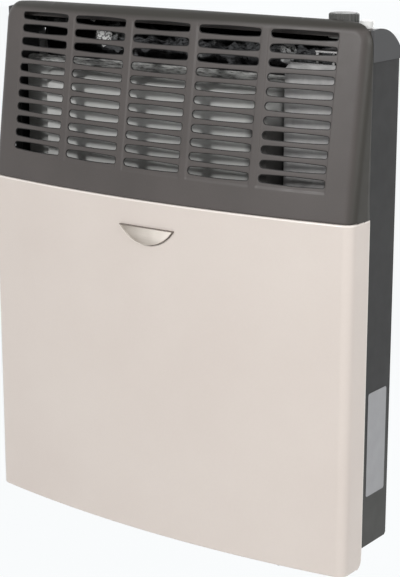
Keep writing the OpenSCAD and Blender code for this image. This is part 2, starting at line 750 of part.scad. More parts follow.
module access_plate() color([0.72, 0.73, 0.73]) on_datum() difference() {
    along_y(plate_y - plate_t, plate_y) translate([access_x, burner_z])
        round_rect(burner_plate[0], burner_plate[1], 5);
    rod_y(access_x, burner_z, 7, plate_y - 3, plate_y + 3);
    for (p = plate_screw_at) rod_y(p[0], p[1], 2.2, plate_y - 3, face_y + 3);
}
screw_across = 28;
screw_high = 23;
plate_screw_at = [
    for (sx = [-1, 1], sz = [-1, 1]) [access_x + sx * screw_across, burner_z + sz * screw_high],
    for (sx = [-1, 1]) [pilot_x + sx * screw_across, pilot_z]];
module plate_screws() color("silver") on_datum() for (p = plate_screw_at)
    screw_front(p[0], plate_y - plate_t - 0.05, p[1], 2, 6);
holder_y = plate_y - plate_t - 0.1;
module injector_holder() color([0.72, 0.6, 0.32]) on_datum() difference() {
    union() {
        rod_y(access_x, burner_z, 12, holder_y - 15, holder_y);
        rod_y(access_x, burner_z, 6.8, holder_y - 1, holder_y + 4);
        rod_x(holder_y - 9, burner_z, 6.5, access_x, access_x + 15);
    }
    rod_y(access_x, burner_z, 3.05, holder_y - 12, holder_y + 5);
    rod_x(holder_y - 9, burner_z, 3, access_x, access_x + 16);
}
module injector() color([0.8, 0.66, 0.3]) on_datum() difference() {
    union() {
        rod_y(access_x, burner_z, 3, holder_y - 4, holder_y + 5);
        translate([access_x, holder_y + 8, burner_z]) rotate([90, 0, 0])
            cylinder(r = 4.6, h = 3.6, $fn = 6);
    }
    rod_y(access_x, burner_z, 0.8, holder_y - 5, holder_y + 10);
}

// ---- Pilot plate with the parts that it carries ----
pilot_head_y = burner_y - 16;
module pilot_plate() color([0.72, 0.73, 0.73]) on_datum() difference() {
    along_y(plate_y - plate_t, plate_y) translate([pilot_x, pilot_z])
        round_rect(pilot_cover[0], pilot_cover[1], 5);
    for (dx = [-17, 0, 17]) rod_y(pilot_x + dx, pilot_z, 4, plate_y - 3, plate_y + 3);
    for (p = plate_screw_at) rod_y(p[0], p[1], 2.2, plate_y - 3, face_y + 3);
}
module pilot_burner() color([0.72, 0.6, 0.32]) on_datum() {
    rod_y(pilot_x, pilot_z, 3.9, plate_y - 9, pilot_head_y);
    difference() {
        rod_z(pilot_x, pilot_head_y, 5, pilot_z - 5, pilot_z + 12);
        rod_z(pilot_x, pilot_head_y, 3.6, pilot_z - 2, pilot_z + 13);
        box(pilot_x - 8, pilot_x + 8, pilot_head_y - 1.2, pilot_head_y + 1.2,
            pilot_z + 8, pilot_z + 13);
    }
}
module thermocouple() color([0.62, 0.5, 0.4]) on_datum() {
    x = pilot_x + 17;
    rod_y(x, pilot_z, 3.9, plate_y - 7, plate_y + 2);
    rod_y(x, pilot_z, 2.5, plate_y, pilot_head_y - 3);
    lead_y = plate_y - 14;
    lead_x = knob_x + 11;
    lead_z = pilot_z + 68;
    pipe([[lead_x, controls_y - 15, valve_foot - 6], [lead_x, controls_y - 15, lead_z],
            [lead_x, lead_y, lead_z], [x, lead_y, lead_z],
            [x, lead_y, pilot_z], [x, plate_y - 6, pilot_z]], 1.2, 6);
    rod_z(lead_x, controls_y - 15, 3.5, valve_foot - 12, valve_foot - 0.1);
}
module spark_electrode() color([0.92, 0.91, 0.88]) on_datum() {
    x = pilot_x - 17;
    rod_y(x, pilot_z, 5.5, plate_y - 4, plate_y - 1.6);
    rod_y(x, pilot_z, 3.9, plate_y - 10, pilot_head_y - 4);
    pipe([[x, pilot_head_y - 5, pilot_z], [x, pilot_head_y + 3, pilot_z],
            [x + 9, pilot_head_y + 3, pilot_z + 12]], 0.8, 3);
}

// ---- Sight window ----
window_x = pilot_x - 72;
window_z = pilot_z + 4;
window_r = 26;
window_plate = 74;
window_screw = 29;
window_screw_at = [for (sx = [-1, 1], sz = [-1, 1])
    [window_x + sx * window_screw, window_z + sz * window_screw]];
module window_gasket() color([0.9, 0.9, 0.86]) on_datum() difference() {
    rod_y(window_x, window_z, window_r, face_y - 1.2, face_y - 0.05);
    rod_y(window_x, window_z, window_r - 5, face_y - 2, face_y + 2);
}
module window_glass() color([0.8, 0.85, 0.85, 0.5]) on_datum()
    rod_y(window_x, window_z, window_r - 0.3, face_y - 4.2, face_y - 1.25);
module window_frame() color([0.72, 0.73, 0.73]) on_datum() difference() {
    union() {
        rod_y(window_x, window_z, window_r + 1.5, face_y - 5.5, face_y - 0.05);
        along_y(face_y - 1.55, face_y - 0.05) translate([window_x, window_z])
            round_rect(window_plate, window_plate, 10);
    }
    rod_y(window_x, window_z, window_r + 0.1, face_y - 4.3, face_y + 1);
    rod_y(window_x, window_z, window_r - 6, face_y - 7, face_y + 1);
    for (p = window_screw_at) rod_y(p[0], p[1], 2.2, face_y - 7, face_y + 1);
}
module window_screws() color("silver") on_datum() for (p = window_screw_at)
    screw_front(p[0], face_y - 1.6, p[1], 2, 5);

// ---- Gas valve, its spindle and the knob ----
plate_z = knob_foot - knob_travel - 10;
valve_top = plate_z - 50;
valve_foot = valve_top - 48;
bonnet_top = valve_top + 18;
spindle_r = 4;
plunger_r = 3;
block_r = 20;
block_screw = 14;
shelf_t = 2;
shelf_back = controls_y + 28;
leg_x = knob_x - 24;
module control_plate() color([0.6, 0.61, 0.6]) on_datum() difference() {
    union() {
        box(leg_x, inner_x - seat, controls_y - block_r, shelf_back, plate_z - shelf_t, plate_z);
        box(inner_x - seat - shelf_t, inner_x - seat, sheet + seat - upper_front,
            shelf_back, plate_z - 24, plate_z);
        // legs that carry the valve
        for (dy = [-18, 16]) box(leg_x, leg_x + 3, controls_y + dy,
            controls_y + dy + 8, valve_foot + 6, plate_z);
    }
    rod_z(knob_x, controls_y, spindle_r + 0.6, plate_z - 5, plate_z + 5);
    rod_z(button_x, controls_y, neck_out_r + 0.2, plate_z - 5, plate_z + 5);
}
shield_w = 112;
shield_drop = 51.5;
module valve_shield() color([0.78, 0.79, 0.79]) on_datum() {
    // stands just in front of the valve and rests on the side panel's fold
    y1 = controls_y - block_r - 1.25;
    x0 = half_w - shield_w;
    x1 = inner_x - seat;
    z0 = valve_foot - 70;
    z1 = body_h - shield_drop;
    along_y(y1 - 1, y1) polygon([[x0, z0], [x1, z0], [x1, z1], [x0 + 8, z1], [x0, z1 - 8]]);
    // lower edge folded back against the pipes
    box(seam_x1 - 26, knob_x - 22, y1 - 1, y1 + 12, z0, z0 + 1);
    box(x1 - 1, x1, y1 - 1, -upper_front - seat, z0, z1);
}
module valve_body() color([0.74, 0.75, 0.76]) on_datum() difference() {
    union() {
        translate([knob_x, controls_y, valve_foot]) linear_extrude(valve_top - valve_foot)
            round_rect(2 * block_r - 1, 2 * block_r, 6);
        rod_z(knob_x + inlet_dx, controls_y + inlet_dy, 13, valve_foot - 10, valve_foot + 1);
        rod_z(burner_pipe_x, burner_pipe_y, 6, valve_foot - 5, valve_foot + 1);
        rod_z(pilot_pipe_x, pilot_pipe_y, 4.8, valve_foot - 5, valve_foot + 1);
    }
    rod_z(knob_x, controls_y, plunger_r + running, valve_foot + 5, valve_top + 1);
    rod_z(knob_x + inlet_dx, controls_y + inlet_dy, inlet_d / 2 - 1.5 + 0.05,
        valve_foot - 11, valve_foot + 4);
    for (sx = [-1, 1], sy = [-1, 1])
        rod_z(knob_x + sx * block_screw, controls_y + sy * block_screw, 1.6,
            valve_top - 8, valve_top + 1);
}
inlet_dx = 5;
inlet_dy = 3;
module valve_bonnet() color([0.66, 0.67, 0.68]) on_datum() difference() {
    union() {
        translate([knob_x, controls_y, valve_top + 0.05]) linear_extrude(3)
            round_rect(2 * block_r - 3, 2 * block_r - 3, 5);
        rod_z(knob_x, controls_y, 12, valve_top + 0.05, bonnet_top);
        for (sx = [-1, 1], sy = [-1, 1])
            rod_z(knob_x + sx * block_screw, controls_y + sy * block_screw, 2.8,
                valve_top + 1, valve_top + 5);
    }
    rod_z(knob_x, controls_y, 8, valve_top - 1, bonnet_top - 4);
    rod_z(knob_x, controls_y, spindle_r + running, bonnet_top - 5, bonnet_top + 1);
}
module magnet_unit() color([0.5, 0.5, 0.52]) on_datum() {
    z = valve_foot + 16;
    rod_y(knob_x, z, 9, controls_y + block_r + 0.05, controls_y + block_r + 14);
    rod_y(knob_x, z, 6, controls_y + block_r + 13, controls_y + block_r + 18);
}
plunger_top = valve_top + 4.7;
module valve_plunger() color([0.72, 0.6, 0.32]) on_datum()
    rod_z(knob_x, controls_y, plunger_r, valve_foot + 6 + knob_travel, plunger_top);
collar_z = valve_top + 9;
module valve_spindle() color([0.78, 0.78, 0.78]) on_datum() {
    difference() {
        rod_z(knob_x, controls_y, spindle_r, plunger_top + 0.2, knob_top - 5);
        box(knob_x + spindle_r - 1, knob_x + 10, controls_y - 10, controls_y + 10,
            knob_foot + 2, knob_top);
    }
    rod_z(knob_x, controls_y, 7, collar_z, collar_z + 3);
}
// Coil that winds round the z axis
module coil(mean_r, wire_r, height, turns) {
    per = 12;
    n = turns * per;
    sides = 6;
    rise = height - 2 * wire_r;
    pts = [for (i = [0 : n], j = [0 : sides - 1])
        let (a = 360 * i / per, b = 360 * j / sides, r = mean_r + wire_r * cos(b))
        [r * cos(a), r * sin(a), wire_r + rise * i / n + wire_r * sin(b)]];
    quads = [for (i = [0 : n - 1], j = [0 : sides - 1])
        let (k = (j + 1) % sides, a = i * sides, b = a + sides)
        each [[a + j, b + j, b + k], [a + j, b + k, a + k]]];
    polyhedron(pts, concat(quads, [[for (j = [0 : sides - 1]) j]],
            [[for (j = [sides - 1 : -1 : 0]) n * sides + j]]));
}
module spindle_spring() color([0.7, 0.7, 0.7]) on_datum()
    translate([knob_x, controls_y, valve_top + 0.2])
        coil(5.2, 0.6, collar_z - valve_top - 0.4, 4);
module control_knob() color([0.35, 0.35, 0.34]) on_datum() difference() {
    union() {
        rod_z(knob_x, controls_y, knob_d / 2, knob_foot, knob_top - 1.5);
        translate([knob_x, controls_y, knob_top - 1.5])
            cylinder(r1 = knob_d / 2, r2 = knob_d / 2 - 1.5, h = 1.5);
    }
    // grip grooves round the side
    for (a = [0 : 15 : 345]) translate([knob_x, controls_y, 0]) rotate(a)
        translate([knob_d / 2 + 0.5, 0, knob_foot + 2])
            cylinder(r = 1.5, h = knob_h);
    // pointer groove on the top
    box(knob_x - 0.8, knob_x + 0.8, controls_y - knob_d / 2 + 3, controls_y - 3,
        knob_top - 1, knob_top + 1);
    // hollow underside round the hub
    difference() {
        rod_z(knob_x, controls_y, knob_d / 2 - 3, knob_foot - 1, knob_top - 6);
        rod_z(knob_x, controls_y, 7, knob_foot - 2, knob_top);
    }
    // bore with a flat that fits the spindle
    difference() {
        rod_z(knob_x, controls_y, spindle_r + 0.05, knob_foot - 1, knob_top - 4.5);
        box(knob_x + spindle_r - 0.95, knob_x + 10, controls_y - 10, controls_y + 10,
            knob_foot + 2, knob_top);
    }
}

// ---- Igniter: body, nut, spring and button ----
neck_out_r = 6.9;
stem_r = 4;
neck_top = button_top - 18 - button_travel;
barrel_foot = plate_z - shelf_t - 46;
module igniter_body() color([0.9, 0.9, 0.88]) on_datum() difference() {
    union() {
        rod_z(button_x, controls_y, 8, barrel_foot, plate_z - shelf_t - 0.05);
        rod_z(button_x, controls_y, neck_out_r, plate_z - 3, neck_top);
        rod_z(button_x, controls_y, 2, barrel_foot - 8, barrel_foot + 1);
    }
    rod_z(button_x, controls_y, 6.4, barrel_foot + 3, plate_z - 5);
    rod_z(button_x, controls_y, stem_r + running, plate_z - 6, neck_top + 1);
}
module igniter_nut() color("silver") on_datum() difference() {
    translate([button_x, controls_y, plate_z + 0.05]) cylinder(r = 10, h = 3, $fn = 6);
    rod_z(button_x, controls_y, neck_out_r + 0.02, plate_z - 1, plate_z + 5);
}
stem_collar = plate_z - 9;
module igniter_spring() color([0.7, 0.7, 0.7]) on_datum()
    translate([button_x, controls_y, barrel_foot + 3.2])
        coil(4.6, 0.6, stem_collar - barrel_foot - 3.4, 7);
module igniter_button() color([0.93, 0.93, 0.92]) on_datum() {
    rod_z(button_x, controls_y, stem_r, stem_collar, button_top - 15);
    rod_z(button_x, controls_y, 6, stem_collar, stem_collar + 2.5);
    rod_z(button_x, controls_y, 3, stem_collar - 14, stem_collar + 1);
    rod_z(button_x, controls_y, button_d / 2, button_top - 17, button_top - 1);
    translate([button_x, controls_y, button_top - 1])
        cylinder(r1 = button_d / 2, r2 = button_d / 2 - 1, h = 1);
}

// ---- Gas pipes ----
inlet_x = knob_x + inlet_dx;
inlet_y = controls_y + inlet_dy;
fitting_foot = side_foot;
module inlet_fitting() color([0.72, 0.6, 0.32]) on_datum() difference() {
    union() {
        rod_z(inlet_x, inlet_y, inlet_d / 2, fitting_foot, fitting_foot + thread_l + 1);
        translate([inlet_x, inlet_y, fitting_foot + thread_l])
            cylinder(r = 15, h = 12, $fn = 6);
        rod_z(inlet_x, inlet_y, 12.5, fitting_foot + thread_l + 11, fitting_foot + thread_l + 30);
    }
    rod_z(inlet_x, inlet_y, 7, fitting_foot - 1, fitting_foot + thread_l + 31);
    rod_z(inlet_x, inlet_y, inlet_d / 2 - 1.5 + 0.05, fitting_foot + thread_l + 18,
        fitting_foot + thread_l + 31);
}
module fitting_bracket() color([0.6, 0.61, 0.6]) on_datum() difference() {
    z = fitting_foot + thread_l + 12.1;
    union() {
        box(inlet_x - 18, inlet_x + 18, inlet_y - 17, -back_t - seat, z, z + 2);
        box(inlet_x - 18, inlet_x + 18, -back_t - seat - 2, -back_t - seat, z, z + 22);
    }
    rod_z(inlet_x, inlet_y, 12.6, z - 1, z + 3);
}
module inlet_pipe() color([0.76, 0.5, 0.35]) on_datum() difference() {
    rod_z(inlet_x, inlet_y, inlet_d / 2 - 1.5, fitting_foot + thread_l + 18.2, valve_foot + 3);
    rod_z(inlet_x, inlet_y, inlet_d / 2 - 2.7, fitting_foot, body_h);
}
burner_pipe_x = knob_x - 12;
burner_pipe_y = controls_y - 13;
module burner_pipe() color([0.76, 0.5, 0.35]) on_datum()
    pipe([[burner_pipe_x, burner_pipe_y, valve_foot - 5.1],
            [burner_pipe_x, burner_pipe_y, pilot_z + 60],
            [burner_pipe_x, holder_y - 9, pilot_z + 60],
            [burner_pipe_x, holder_y - 9, burner_z],
            [access_x + 15.1, holder_y - 9, burner_z]], burner_pipe_d / 2, 10);
pilot_pipe_x = knob_x + 1;
pilot_pipe_y = controls_y - 15;
module pilot_pipe() color([0.76, 0.5, 0.35]) on_datum()
    pipe([[pilot_pipe_x, pilot_pipe_y, valve_foot - 5.1],
            [pilot_pipe_x, pilot_pipe_y, pilot_z + 22],
            [pilot_pipe_x, plate_y - 20, pilot_z + 22],
            [pilot_x, plate_y - 20, pilot_z + 22],
            [pilot_x, plate_y - 20, pilot_z], [pilot_x, plate_y - 9.1, pilot_z]],
        pilot_pipe_d / 2, 7);
module pipe_nuts() color([0.8, 0.66, 0.3]) on_datum() {
    nut(burner_pipe_x, burner_pipe_y, valve_foot - 14, burner_pipe_d / 2, 7.5);
    nut(pilot_pipe_x, pilot_pipe_y, valve_foot - 14, pilot_pipe_d / 2, 5);
    translate([access_x + 15.2, holder_y - 9, burner_z]) rotate([0, 90, 0])
        nut(0, 0, 0, burner_pipe_d / 2, 8);
}
module nut(x, y, z, bore, r) translate([x, y, z]) difference() {
    cylinder(r = r, h = 8.5, $fn = 6);
    translate([0, 0, -1]) cylinder(r = bore + 0.05, h = 12);
}
module spark_lead() color([0.85, 0.2, 0.15]) on_datum() {
    x = pilot_x - 17;
    y = plate_y - 12;
    z = pilot_z + 77;
    pipe([[button_x, controls_y, barrel_foot - 8.2], [button_x, controls_y, z],
            [button_x, y, z], [x, y, z], [x, y, pilot_z - 1]], 1.6, 8);
}

// ---- Bare data plate on the right side ----
label_w = 41;
label_h = 126;
label_foot = 83;
module data_plate() color([0.8, 0.81, 0.82]) on_datum()
    along_x(panel_x + 0.02, panel_x + 0.5)
        translate([-29, label_foot + label_h / 2]) round_rect(label_w, label_h, 3);

back_panel();
side_panel_left();
side_panel_right();
base_rail();
top_sheet();
end_cap_left();
end_cap_right();
foil_lining();
front_cover();
cover_screws();
grille();
badge();
data_plate();
chamber_front();
chamber_back();
chamber_supports();
baffle();
air_duct();
air_collar();
exhaust_spigot();
flue_gasket();
flue_screws();
burner_tube();
burner_saddle();
access_gasket();
access_plate();
injector_holder();
injector();
pilot_plate();
pilot_burner();
thermocouple();
spark_electrode();
plate_screws();
window_gasket();
window_glass();
window_frame();
window_screws();
control_plate();
valve_shield();
valve_body();
valve_bonnet();
magnet_unit();
valve_plunger();
spindle_spring();
valve_spindle();
control_knob();
inlet_fitting();
fitting_bracket();
inlet_pipe();
burner_pipe();
pilot_pipe();
pipe_nuts();
spark_lead();
igniter_body();
igniter_nut();
igniter_spring();
igniter_button();
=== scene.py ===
import math

import bpy
import numpy as np
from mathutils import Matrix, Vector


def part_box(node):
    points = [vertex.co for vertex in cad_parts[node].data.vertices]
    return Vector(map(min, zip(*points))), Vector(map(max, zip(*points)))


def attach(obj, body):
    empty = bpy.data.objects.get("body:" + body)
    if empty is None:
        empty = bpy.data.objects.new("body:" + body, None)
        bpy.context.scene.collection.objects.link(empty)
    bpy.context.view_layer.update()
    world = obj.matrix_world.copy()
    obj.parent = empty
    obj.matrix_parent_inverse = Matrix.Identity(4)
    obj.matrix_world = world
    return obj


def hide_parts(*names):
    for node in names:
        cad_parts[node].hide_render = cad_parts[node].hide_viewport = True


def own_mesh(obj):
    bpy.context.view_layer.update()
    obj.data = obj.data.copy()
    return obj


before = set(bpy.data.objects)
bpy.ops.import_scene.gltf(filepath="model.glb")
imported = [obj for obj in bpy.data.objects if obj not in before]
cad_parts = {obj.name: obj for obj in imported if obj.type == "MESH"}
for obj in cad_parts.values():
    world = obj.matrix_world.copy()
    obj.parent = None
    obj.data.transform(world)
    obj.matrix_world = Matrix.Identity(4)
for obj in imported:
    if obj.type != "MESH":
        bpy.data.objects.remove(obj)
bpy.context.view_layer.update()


# ---- Back panel ----
# Galvanised steel sheet, folded at both sides and pressed with stiffening beads. It hangs on four
# wall screws and stays bare zinc, with the pale frosted grain that hot dipping leaves.
MM = 0.001


class Wire:
    """An output of a shader node. Arithmetic on it adds Math nodes to its material."""

    def __init__(self, tree, socket):
        self.tree = tree
        self.socket = socket

    def node(self, kind, settings=None, values=None, out=0):
        """Adds a node of a kind: first its settings, then its sockets' values or links."""
        made = self.tree.nodes.new("ShaderNode" + kind)
        for key, value in (settings or {}).items():
            setattr(made, key, value)
        for key, value in (values or {}).items():
            if isinstance(value, Wire):
                self.tree.links.new(value.socket, made.inputs[key])
            else:
                made.inputs[key].default_value = value
        return Wire(self.tree, made.outputs[out])

    def math(self, operation, *values):
        return self.node("Math", {"operation": operation}, dict(enumerate(values)))

    def __add__(self, other):
        return self.math("ADD", self, other)

    def __radd__(self, other):
        return self.math("ADD", other, self)

    def __sub__(self, other):
        return self.math("SUBTRACT", self, other)

    def __rsub__(self, other):
        return self.math("SUBTRACT", other, self)

    def __mul__(self, other):
        return self.math("MULTIPLY", self, other)

    def __rmul__(self, other):
        return self.math("MULTIPLY", other, self)


def paint(red, green, blue):
    """Scene colour of an 8-bit screen colour."""
    shades = []
    for level in (red, green, blue):
        c = level / 255
        shades.append(c / 12.92 if c <= 0.04045 else ((c + 0.055) / 1.055) ** 2.4)
    return (*shades, 1.0)


def new_finish(name, **fixed):
    """A material whose constant sockets are set, and the place on the object in metres."""
    material = bpy.data.materials.new(name)
    material.use_nodes = True
    shader = material.node_tree.nodes["Principled BSDF"]
    for key, value in fixed.items():
        shader.inputs[key.replace("_", " ")].default_value = value
    return material, Wire(material.node_tree, None).node("TexCoord", out="Object")


def feed(material, **wires):
    """Links wires to the shader's sockets."""
    shader = material.node_tree.nodes["Principled BSDF"]
    for key, wire in wires.items():
        material.node_tree.links.new(wire.socket, shader.inputs[key.replace("_", " ")])


def scaled(place, along):
    """A place multiplied along each axis, for grain that runs one way."""
    return place.node("VectorMath", {"operation": "MULTIPLY"}, {0: place, 1: along})


def noise(place, per_metre, detail=2.0, roughness=0.5):
    return place.node("TexNoise", values={
        "Vector": place, "Scale": per_metre, "Detail": detail, "Roughness": roughness})


def cells(place, per_metre, out="Color"):
    return place.node("TexVoronoi", {"feature": "F1"},
                      {"Vector": place, "Scale": per_metre}, out)


def spread(wire, low, high, at_low=0.0, at_high=1.0):
    """Maps a range of values to another, with both ends held."""
    return wire.node("MapRange", {"clamp": True},
                     {0: wire, 1: low, 2: high, 3: at_low, 4: at_high})


def uneven(wire, least=0.0, most=1.0):
    """Maps noise, which lies mostly between 0.3 and 0.7, to a range."""
    return spread(wire, 0.3, 0.7, least, most)


def tinted(factor, first, second):
    """Colour between two others, by a factor from 0 to 1."""
    return factor.node("Mix", {"data_type": "RGBA"}, {0: factor, 6: first, 7: second}, 2)


def bump(height, distance, strength=1.0):
    return height.node("Bump", values={
        "Height": height, "Distance": distance, "Strength": strength})


def smoothed(piece, edge, angle=35.0):
    """Shades a piece smooth, with its sharp edges softened to a small radius."""
    mesh = piece.data
    if "custom_normal" in mesh.attributes:
        mesh.attributes.remove(mesh.attributes["custom_normal"])
    mesh.polygons.foreach_set("use_smooth", [True] * len(mesh.polygons))
    weld = piece.modifiers.new("weld", "WELD")
    weld.merge_threshold = 0.001 * MM
    if edge:
        bevel = piece.modifiers.new("softened edges", "BEVEL")
        bevel.width = edge
        bevel.segments = 2
        bevel.limit_method = "ANGLE"
        bevel.angle_limit = math.radians(angle)
    piece.modifiers.new("flat faces", "WEIGHTED_NORMAL")


def dress(finish, *names, edge=0.2 * MM):
    """Gives CAD nodes their finish and softened edges."""
    for name in names:
        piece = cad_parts[name]
        for held in piece.material_slots:
            held.material = finish
        smoothed(piece, edge)


# frosted zinc crystals some 5 mm wide, soft clouds, and fine upright rolling lines
galvanised, place = new_finish("galvanised_sheet", Metallic=0.4, Specular_IOR_Level=0.3)
crystal = place.node("SeparateColor", values={0: cells(place, 200)}, out="Red")
cloud = noise(place, 14, 4)
fine = noise(scaled(place, (260, 260, 30)), 1.0, 2)
feed(galvanised,
     Base_Color=tinted(crystal * 0.3 + cloud * 0.45 + fine * 0.25,
                       paint(153, 152, 151), paint(186, 184, 183)),
     Roughness=spread(crystal + cloud * 0.5, 0.2, 1.1, 0.34, 0.56),
     Normal=bump(fine * 0.5 + crystal * 0.5, 0.03 * MM))
dress(galvanised, "back_panel", edge=0.3 * MM)


# ---- Side panels and base rail ----
# The side panels are folded steel, stove enamelled satin black-grey after folding and hooked to the
# back panel. The base rail is plain galvanised strip that carries the cover's two screws.
def measured(place, axis):
    """One coordinate of a place: X, Y or Z."""
    return place.node("SeparateXYZ", values={0: place}, out=axis)


def satin_paint(name, light, dark, roughness, grain, other=None, painted_light_colour=None):
    """Satin stove enamel: fine orange peel, and slight unevenness of tone and sheen.
    other gives the places that are tinted towards the other colour as painted light or painted
    shade."""
    coat, place = new_finish(name, Specular_IOR_Level=0.2)
    cloud = noise(place, 9, 3)
    peel = noise(place, grain, 2, 0.6)
    shade = tinted(uneven(cloud * 0.7 + peel * 0.3), dark, light)
    if other:
        shade = tinted(other(place), shade, painted_light_colour)
    feed(coat,
         Base_Color=shade,
         Roughness=uneven(noise(place, 60, 3), roughness - 0.04, roughness + 0.05),
         Normal=bump(peel, 0.02 * MM))
    return coat


def painted_floor_bounce(place):
    """The foot of the sides, painted paler as painted light from the floor below."""
    return spread(measured(place, "Z"), -260 * MM, -100 * MM, 1.0, 0.0)


# the foot of the sides is painted paler as painted light from the floor
case_paint = satin_paint("case_enamel", paint(54, 54, 54), paint(49, 49, 49), 0.5, 700,
                         painted_floor_bounce, paint(72, 72, 70))
dress(case_paint, "side_panel_left", "side_panel_right", edge=0.3 * MM)
dress(galvanised, "base_rail", edge=0.3 * MM)


# ---- Combustion chamber, its supports and its baffle ----
# Two pressed shells of aluminised steel crimped together round a flat seam, standing on galvanised
# brackets. The baffle inside is plain steel that the flame has scaled blue-grey and brown.
def either(first, second):
    """The greater of two masks."""
    return first.math("MAXIMUM", first, second)


# dull silver with soft drawn streaks and a fine dry grain, darkened in creased streaks along the
# upper fold, and painted dark at the valve's end as painted shade where the gap beside the valve
# shield lies in shadow
aluminised, place = new_finish("aluminised_sheet", Metallic=0.15, Specular_IOR_Level=0.3)
across, up = measured(place, "X"), measured(place, "Z")
cloud = noise(place, 11, 4, 0.55)
streak = noise(scaled(place, (30, 30, 420)), 1.0, 3)
grain = noise(place, 1500, 2)
silver = tinted(uneven(cloud * 0.5 + streak * 0.25 + grain * 0.25),
                paint(170, 170, 167), paint(196, 196, 194))
valve_end_painted_shade = spread(across, 106 * MM, 118 * MM) * spread(up, 195 * MM, 225 * MM, 1.0, 0.0)
crease = spread(noise(scaled(place, (90, 90, 520)), 1.0, 4, 0.6), 0.4, 0.64)
upper_fold = spread(up, 238 * MM, 246 * MM, 0.0, 0.85)
feed(aluminised,
     Base_Color=tinted(either(valve_end_painted_shade, upper_fold * crease), silver, paint(58, 56, 54)),
     Roughness=spread(cloud + streak * 0.5, 0.4, 1.0, 0.42, 0.6),
     Normal=bump(grain, 0.02 * MM))
dress(aluminised, "chamber_front", "chamber_back", edge=0.4 * MM)
dress(galvanised, "chamber_supports")

heat_steel, place = new_finish("heat_scaled_steel", Metallic=0.85)
scale_cloud = noise(place, 22, 5, 0.6)
browned = tinted(spread(scale_cloud, 0.25, 0.45), paint(70, 62, 58), paint(96, 88, 84))
blued = tinted(spread(scale_cloud, 0.45, 0.6), browned, paint(92, 98, 112))
feed(heat_steel,
     Base_Color=tinted(spread(scale_cloud, 0.6, 0.75), blued, paint(128, 120, 108)),
     Roughness=uneven(noise(place, 90, 3), 0.45, 0.7),
     Normal=bump(noise(place, 900, 3), 0.04 * MM))
dress(heat_steel, "baffle")


# ---- Flue: air duct, air collar and exhaust spigot ----
# A galvanised duct brings air down to the burner from the spun collar, and the aluminised spigot
# takes the fumes out through it. A fibre gasket and four screws seal the spigot to the chamber.
dress(galvanised, "air_duct", "air_collar")
dress(aluminised, "exhaust_spigot")

gasket, place = new_finish("fibre_gasket", Roughness=0.95)
fibre = noise(place, 1200, 4, 0.7)
feed(gasket,
     Base_Color=tinted(fibre, paint(206, 200, 188), paint(232, 228, 218)),
     Normal=bump(fibre, 0.15 * MM))
dress(gasket, "flue_gasket", edge=0)


def plated(name, light, dark, metal, roughness):
    """Turned or drawn metal: fine tool marks round its form and patchy tarnish."""
    made, place = new_finish(name, Metallic=metal)
    cloud = noise(place, 60, 4, 0.6)
    marks = noise(scaled(place, (400, 400, 2400)), 1.0, 2)
    feed(made,
         Base_Color=tinted(uneven(cloud), dark, light),
         Roughness=uneven(cloud * 0.6 + marks * 0.4, roughness - 0.06, roughness + 0.1),
         Normal=bump(marks, 0.01 * MM))
    return made


steel = plated("zinc_plated_steel", paint(205, 207, 208), paint(166, 168, 170), 0.9, 0.32)
dress(steel, "flue_screws", edge=0.15 * MM)


# ---- Burner, its access plate and its injector ----
# A drawn tube with a row of slots, held in a saddle. The plate that it comes out through is screwed
# to the chamber over a gasket, and a brass holder carries the injector in front of the tube's mouth.
dress(heat_steel, "burner_tube", edge=0)
dress(heat_steel, "burner_saddle")
dress(gasket, "access_gasket", edge=0)
dress(aluminised, "access_plate")
brass = plated("turned_brass", paint(212, 178, 112), paint(176, 140, 78), 0.95, 0.28)
dress(brass, "injector_holder", "injector")


# ---- Pilot: plate, burner, thermocouple and spark electrode ----
# An aluminised plate carries the brass pilot burner, the copper thermocouple lead and the glazed
# ceramic electrode through the chamber's face, with self-tapping screws all round.
copper = plated("drawn_copper", paint(206, 142, 112), paint(158, 98, 72), 0.95, 0.33)
ceramic, place = new_finish("glazed_ceramic", Coat_Weight=0.6, Coat_Roughness=0.08)
glaze = noise(place, 160, 3)
feed(ceramic,
     Base_Color=tinted(glaze, paint(228, 224, 214), paint(242, 240, 234)),
     Roughness=uneven(glaze, 0.2, 0.32))
dress(aluminised, "pilot_plate")
dress(brass, "pilot_burner")
dress(copper, "thermocouple", edge=0)
dress(ceramic, "spark_electrode", edge=0)
dress(steel, "plate_screws", edge=0.15 * MM)


# ---- Sight window ----
# A mica-clear glass disc between two fibre rings, clamped over the chamber's sight hole by a
# pressed frame and four screws.
sight_glass, place = new_finish("sight_glass", Transmission_Weight=0.9, IOR=1.5)
soot = noise(place, 180, 3)
feed(sight_glass,
     Base_Color=tinted(soot, paint(214, 208, 190), paint(240, 238, 230)),
     Roughness=spread(soot, 0.4, 0.7, 0.04, 0.16))
dress(gasket, "window_gasket", edge=0)
dress(sight_glass, "window_glass")
dress(aluminised, "window_frame")
dress(steel, "window_screws", edge=0.15 * MM)


# ---- Control plate and valve shield ----
# Galvanised brackets: the plate holds the gas valve and the igniter, and the bent shield keeps the
# chamber's heat off them. Its lit face shows through the grille's last column.
dress(galvanised, "control_plate", "valve_shield")


# ---- Gas valve ----
# Zinc die-cast body and bonnet, grey and slightly porous, with a plated steel magnet unit. The brass
# plunger and the steel spindle in it are pushed down by the knob against a coil spring.
def add_piece(name, points, faces, finish, node):
    """A fixed mesh piece, in the frame's metres, that stands for a node."""
    mesh = bpy.data.meshes.new(name)
    mesh.from_pydata(points, [], faces)
    mesh.materials.append(finish)
    piece = bpy.data.objects.new(name, mesh)
    bpy.context.scene.collection.objects.link(piece)
    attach(piece, "root")
    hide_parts(node)
    return piece


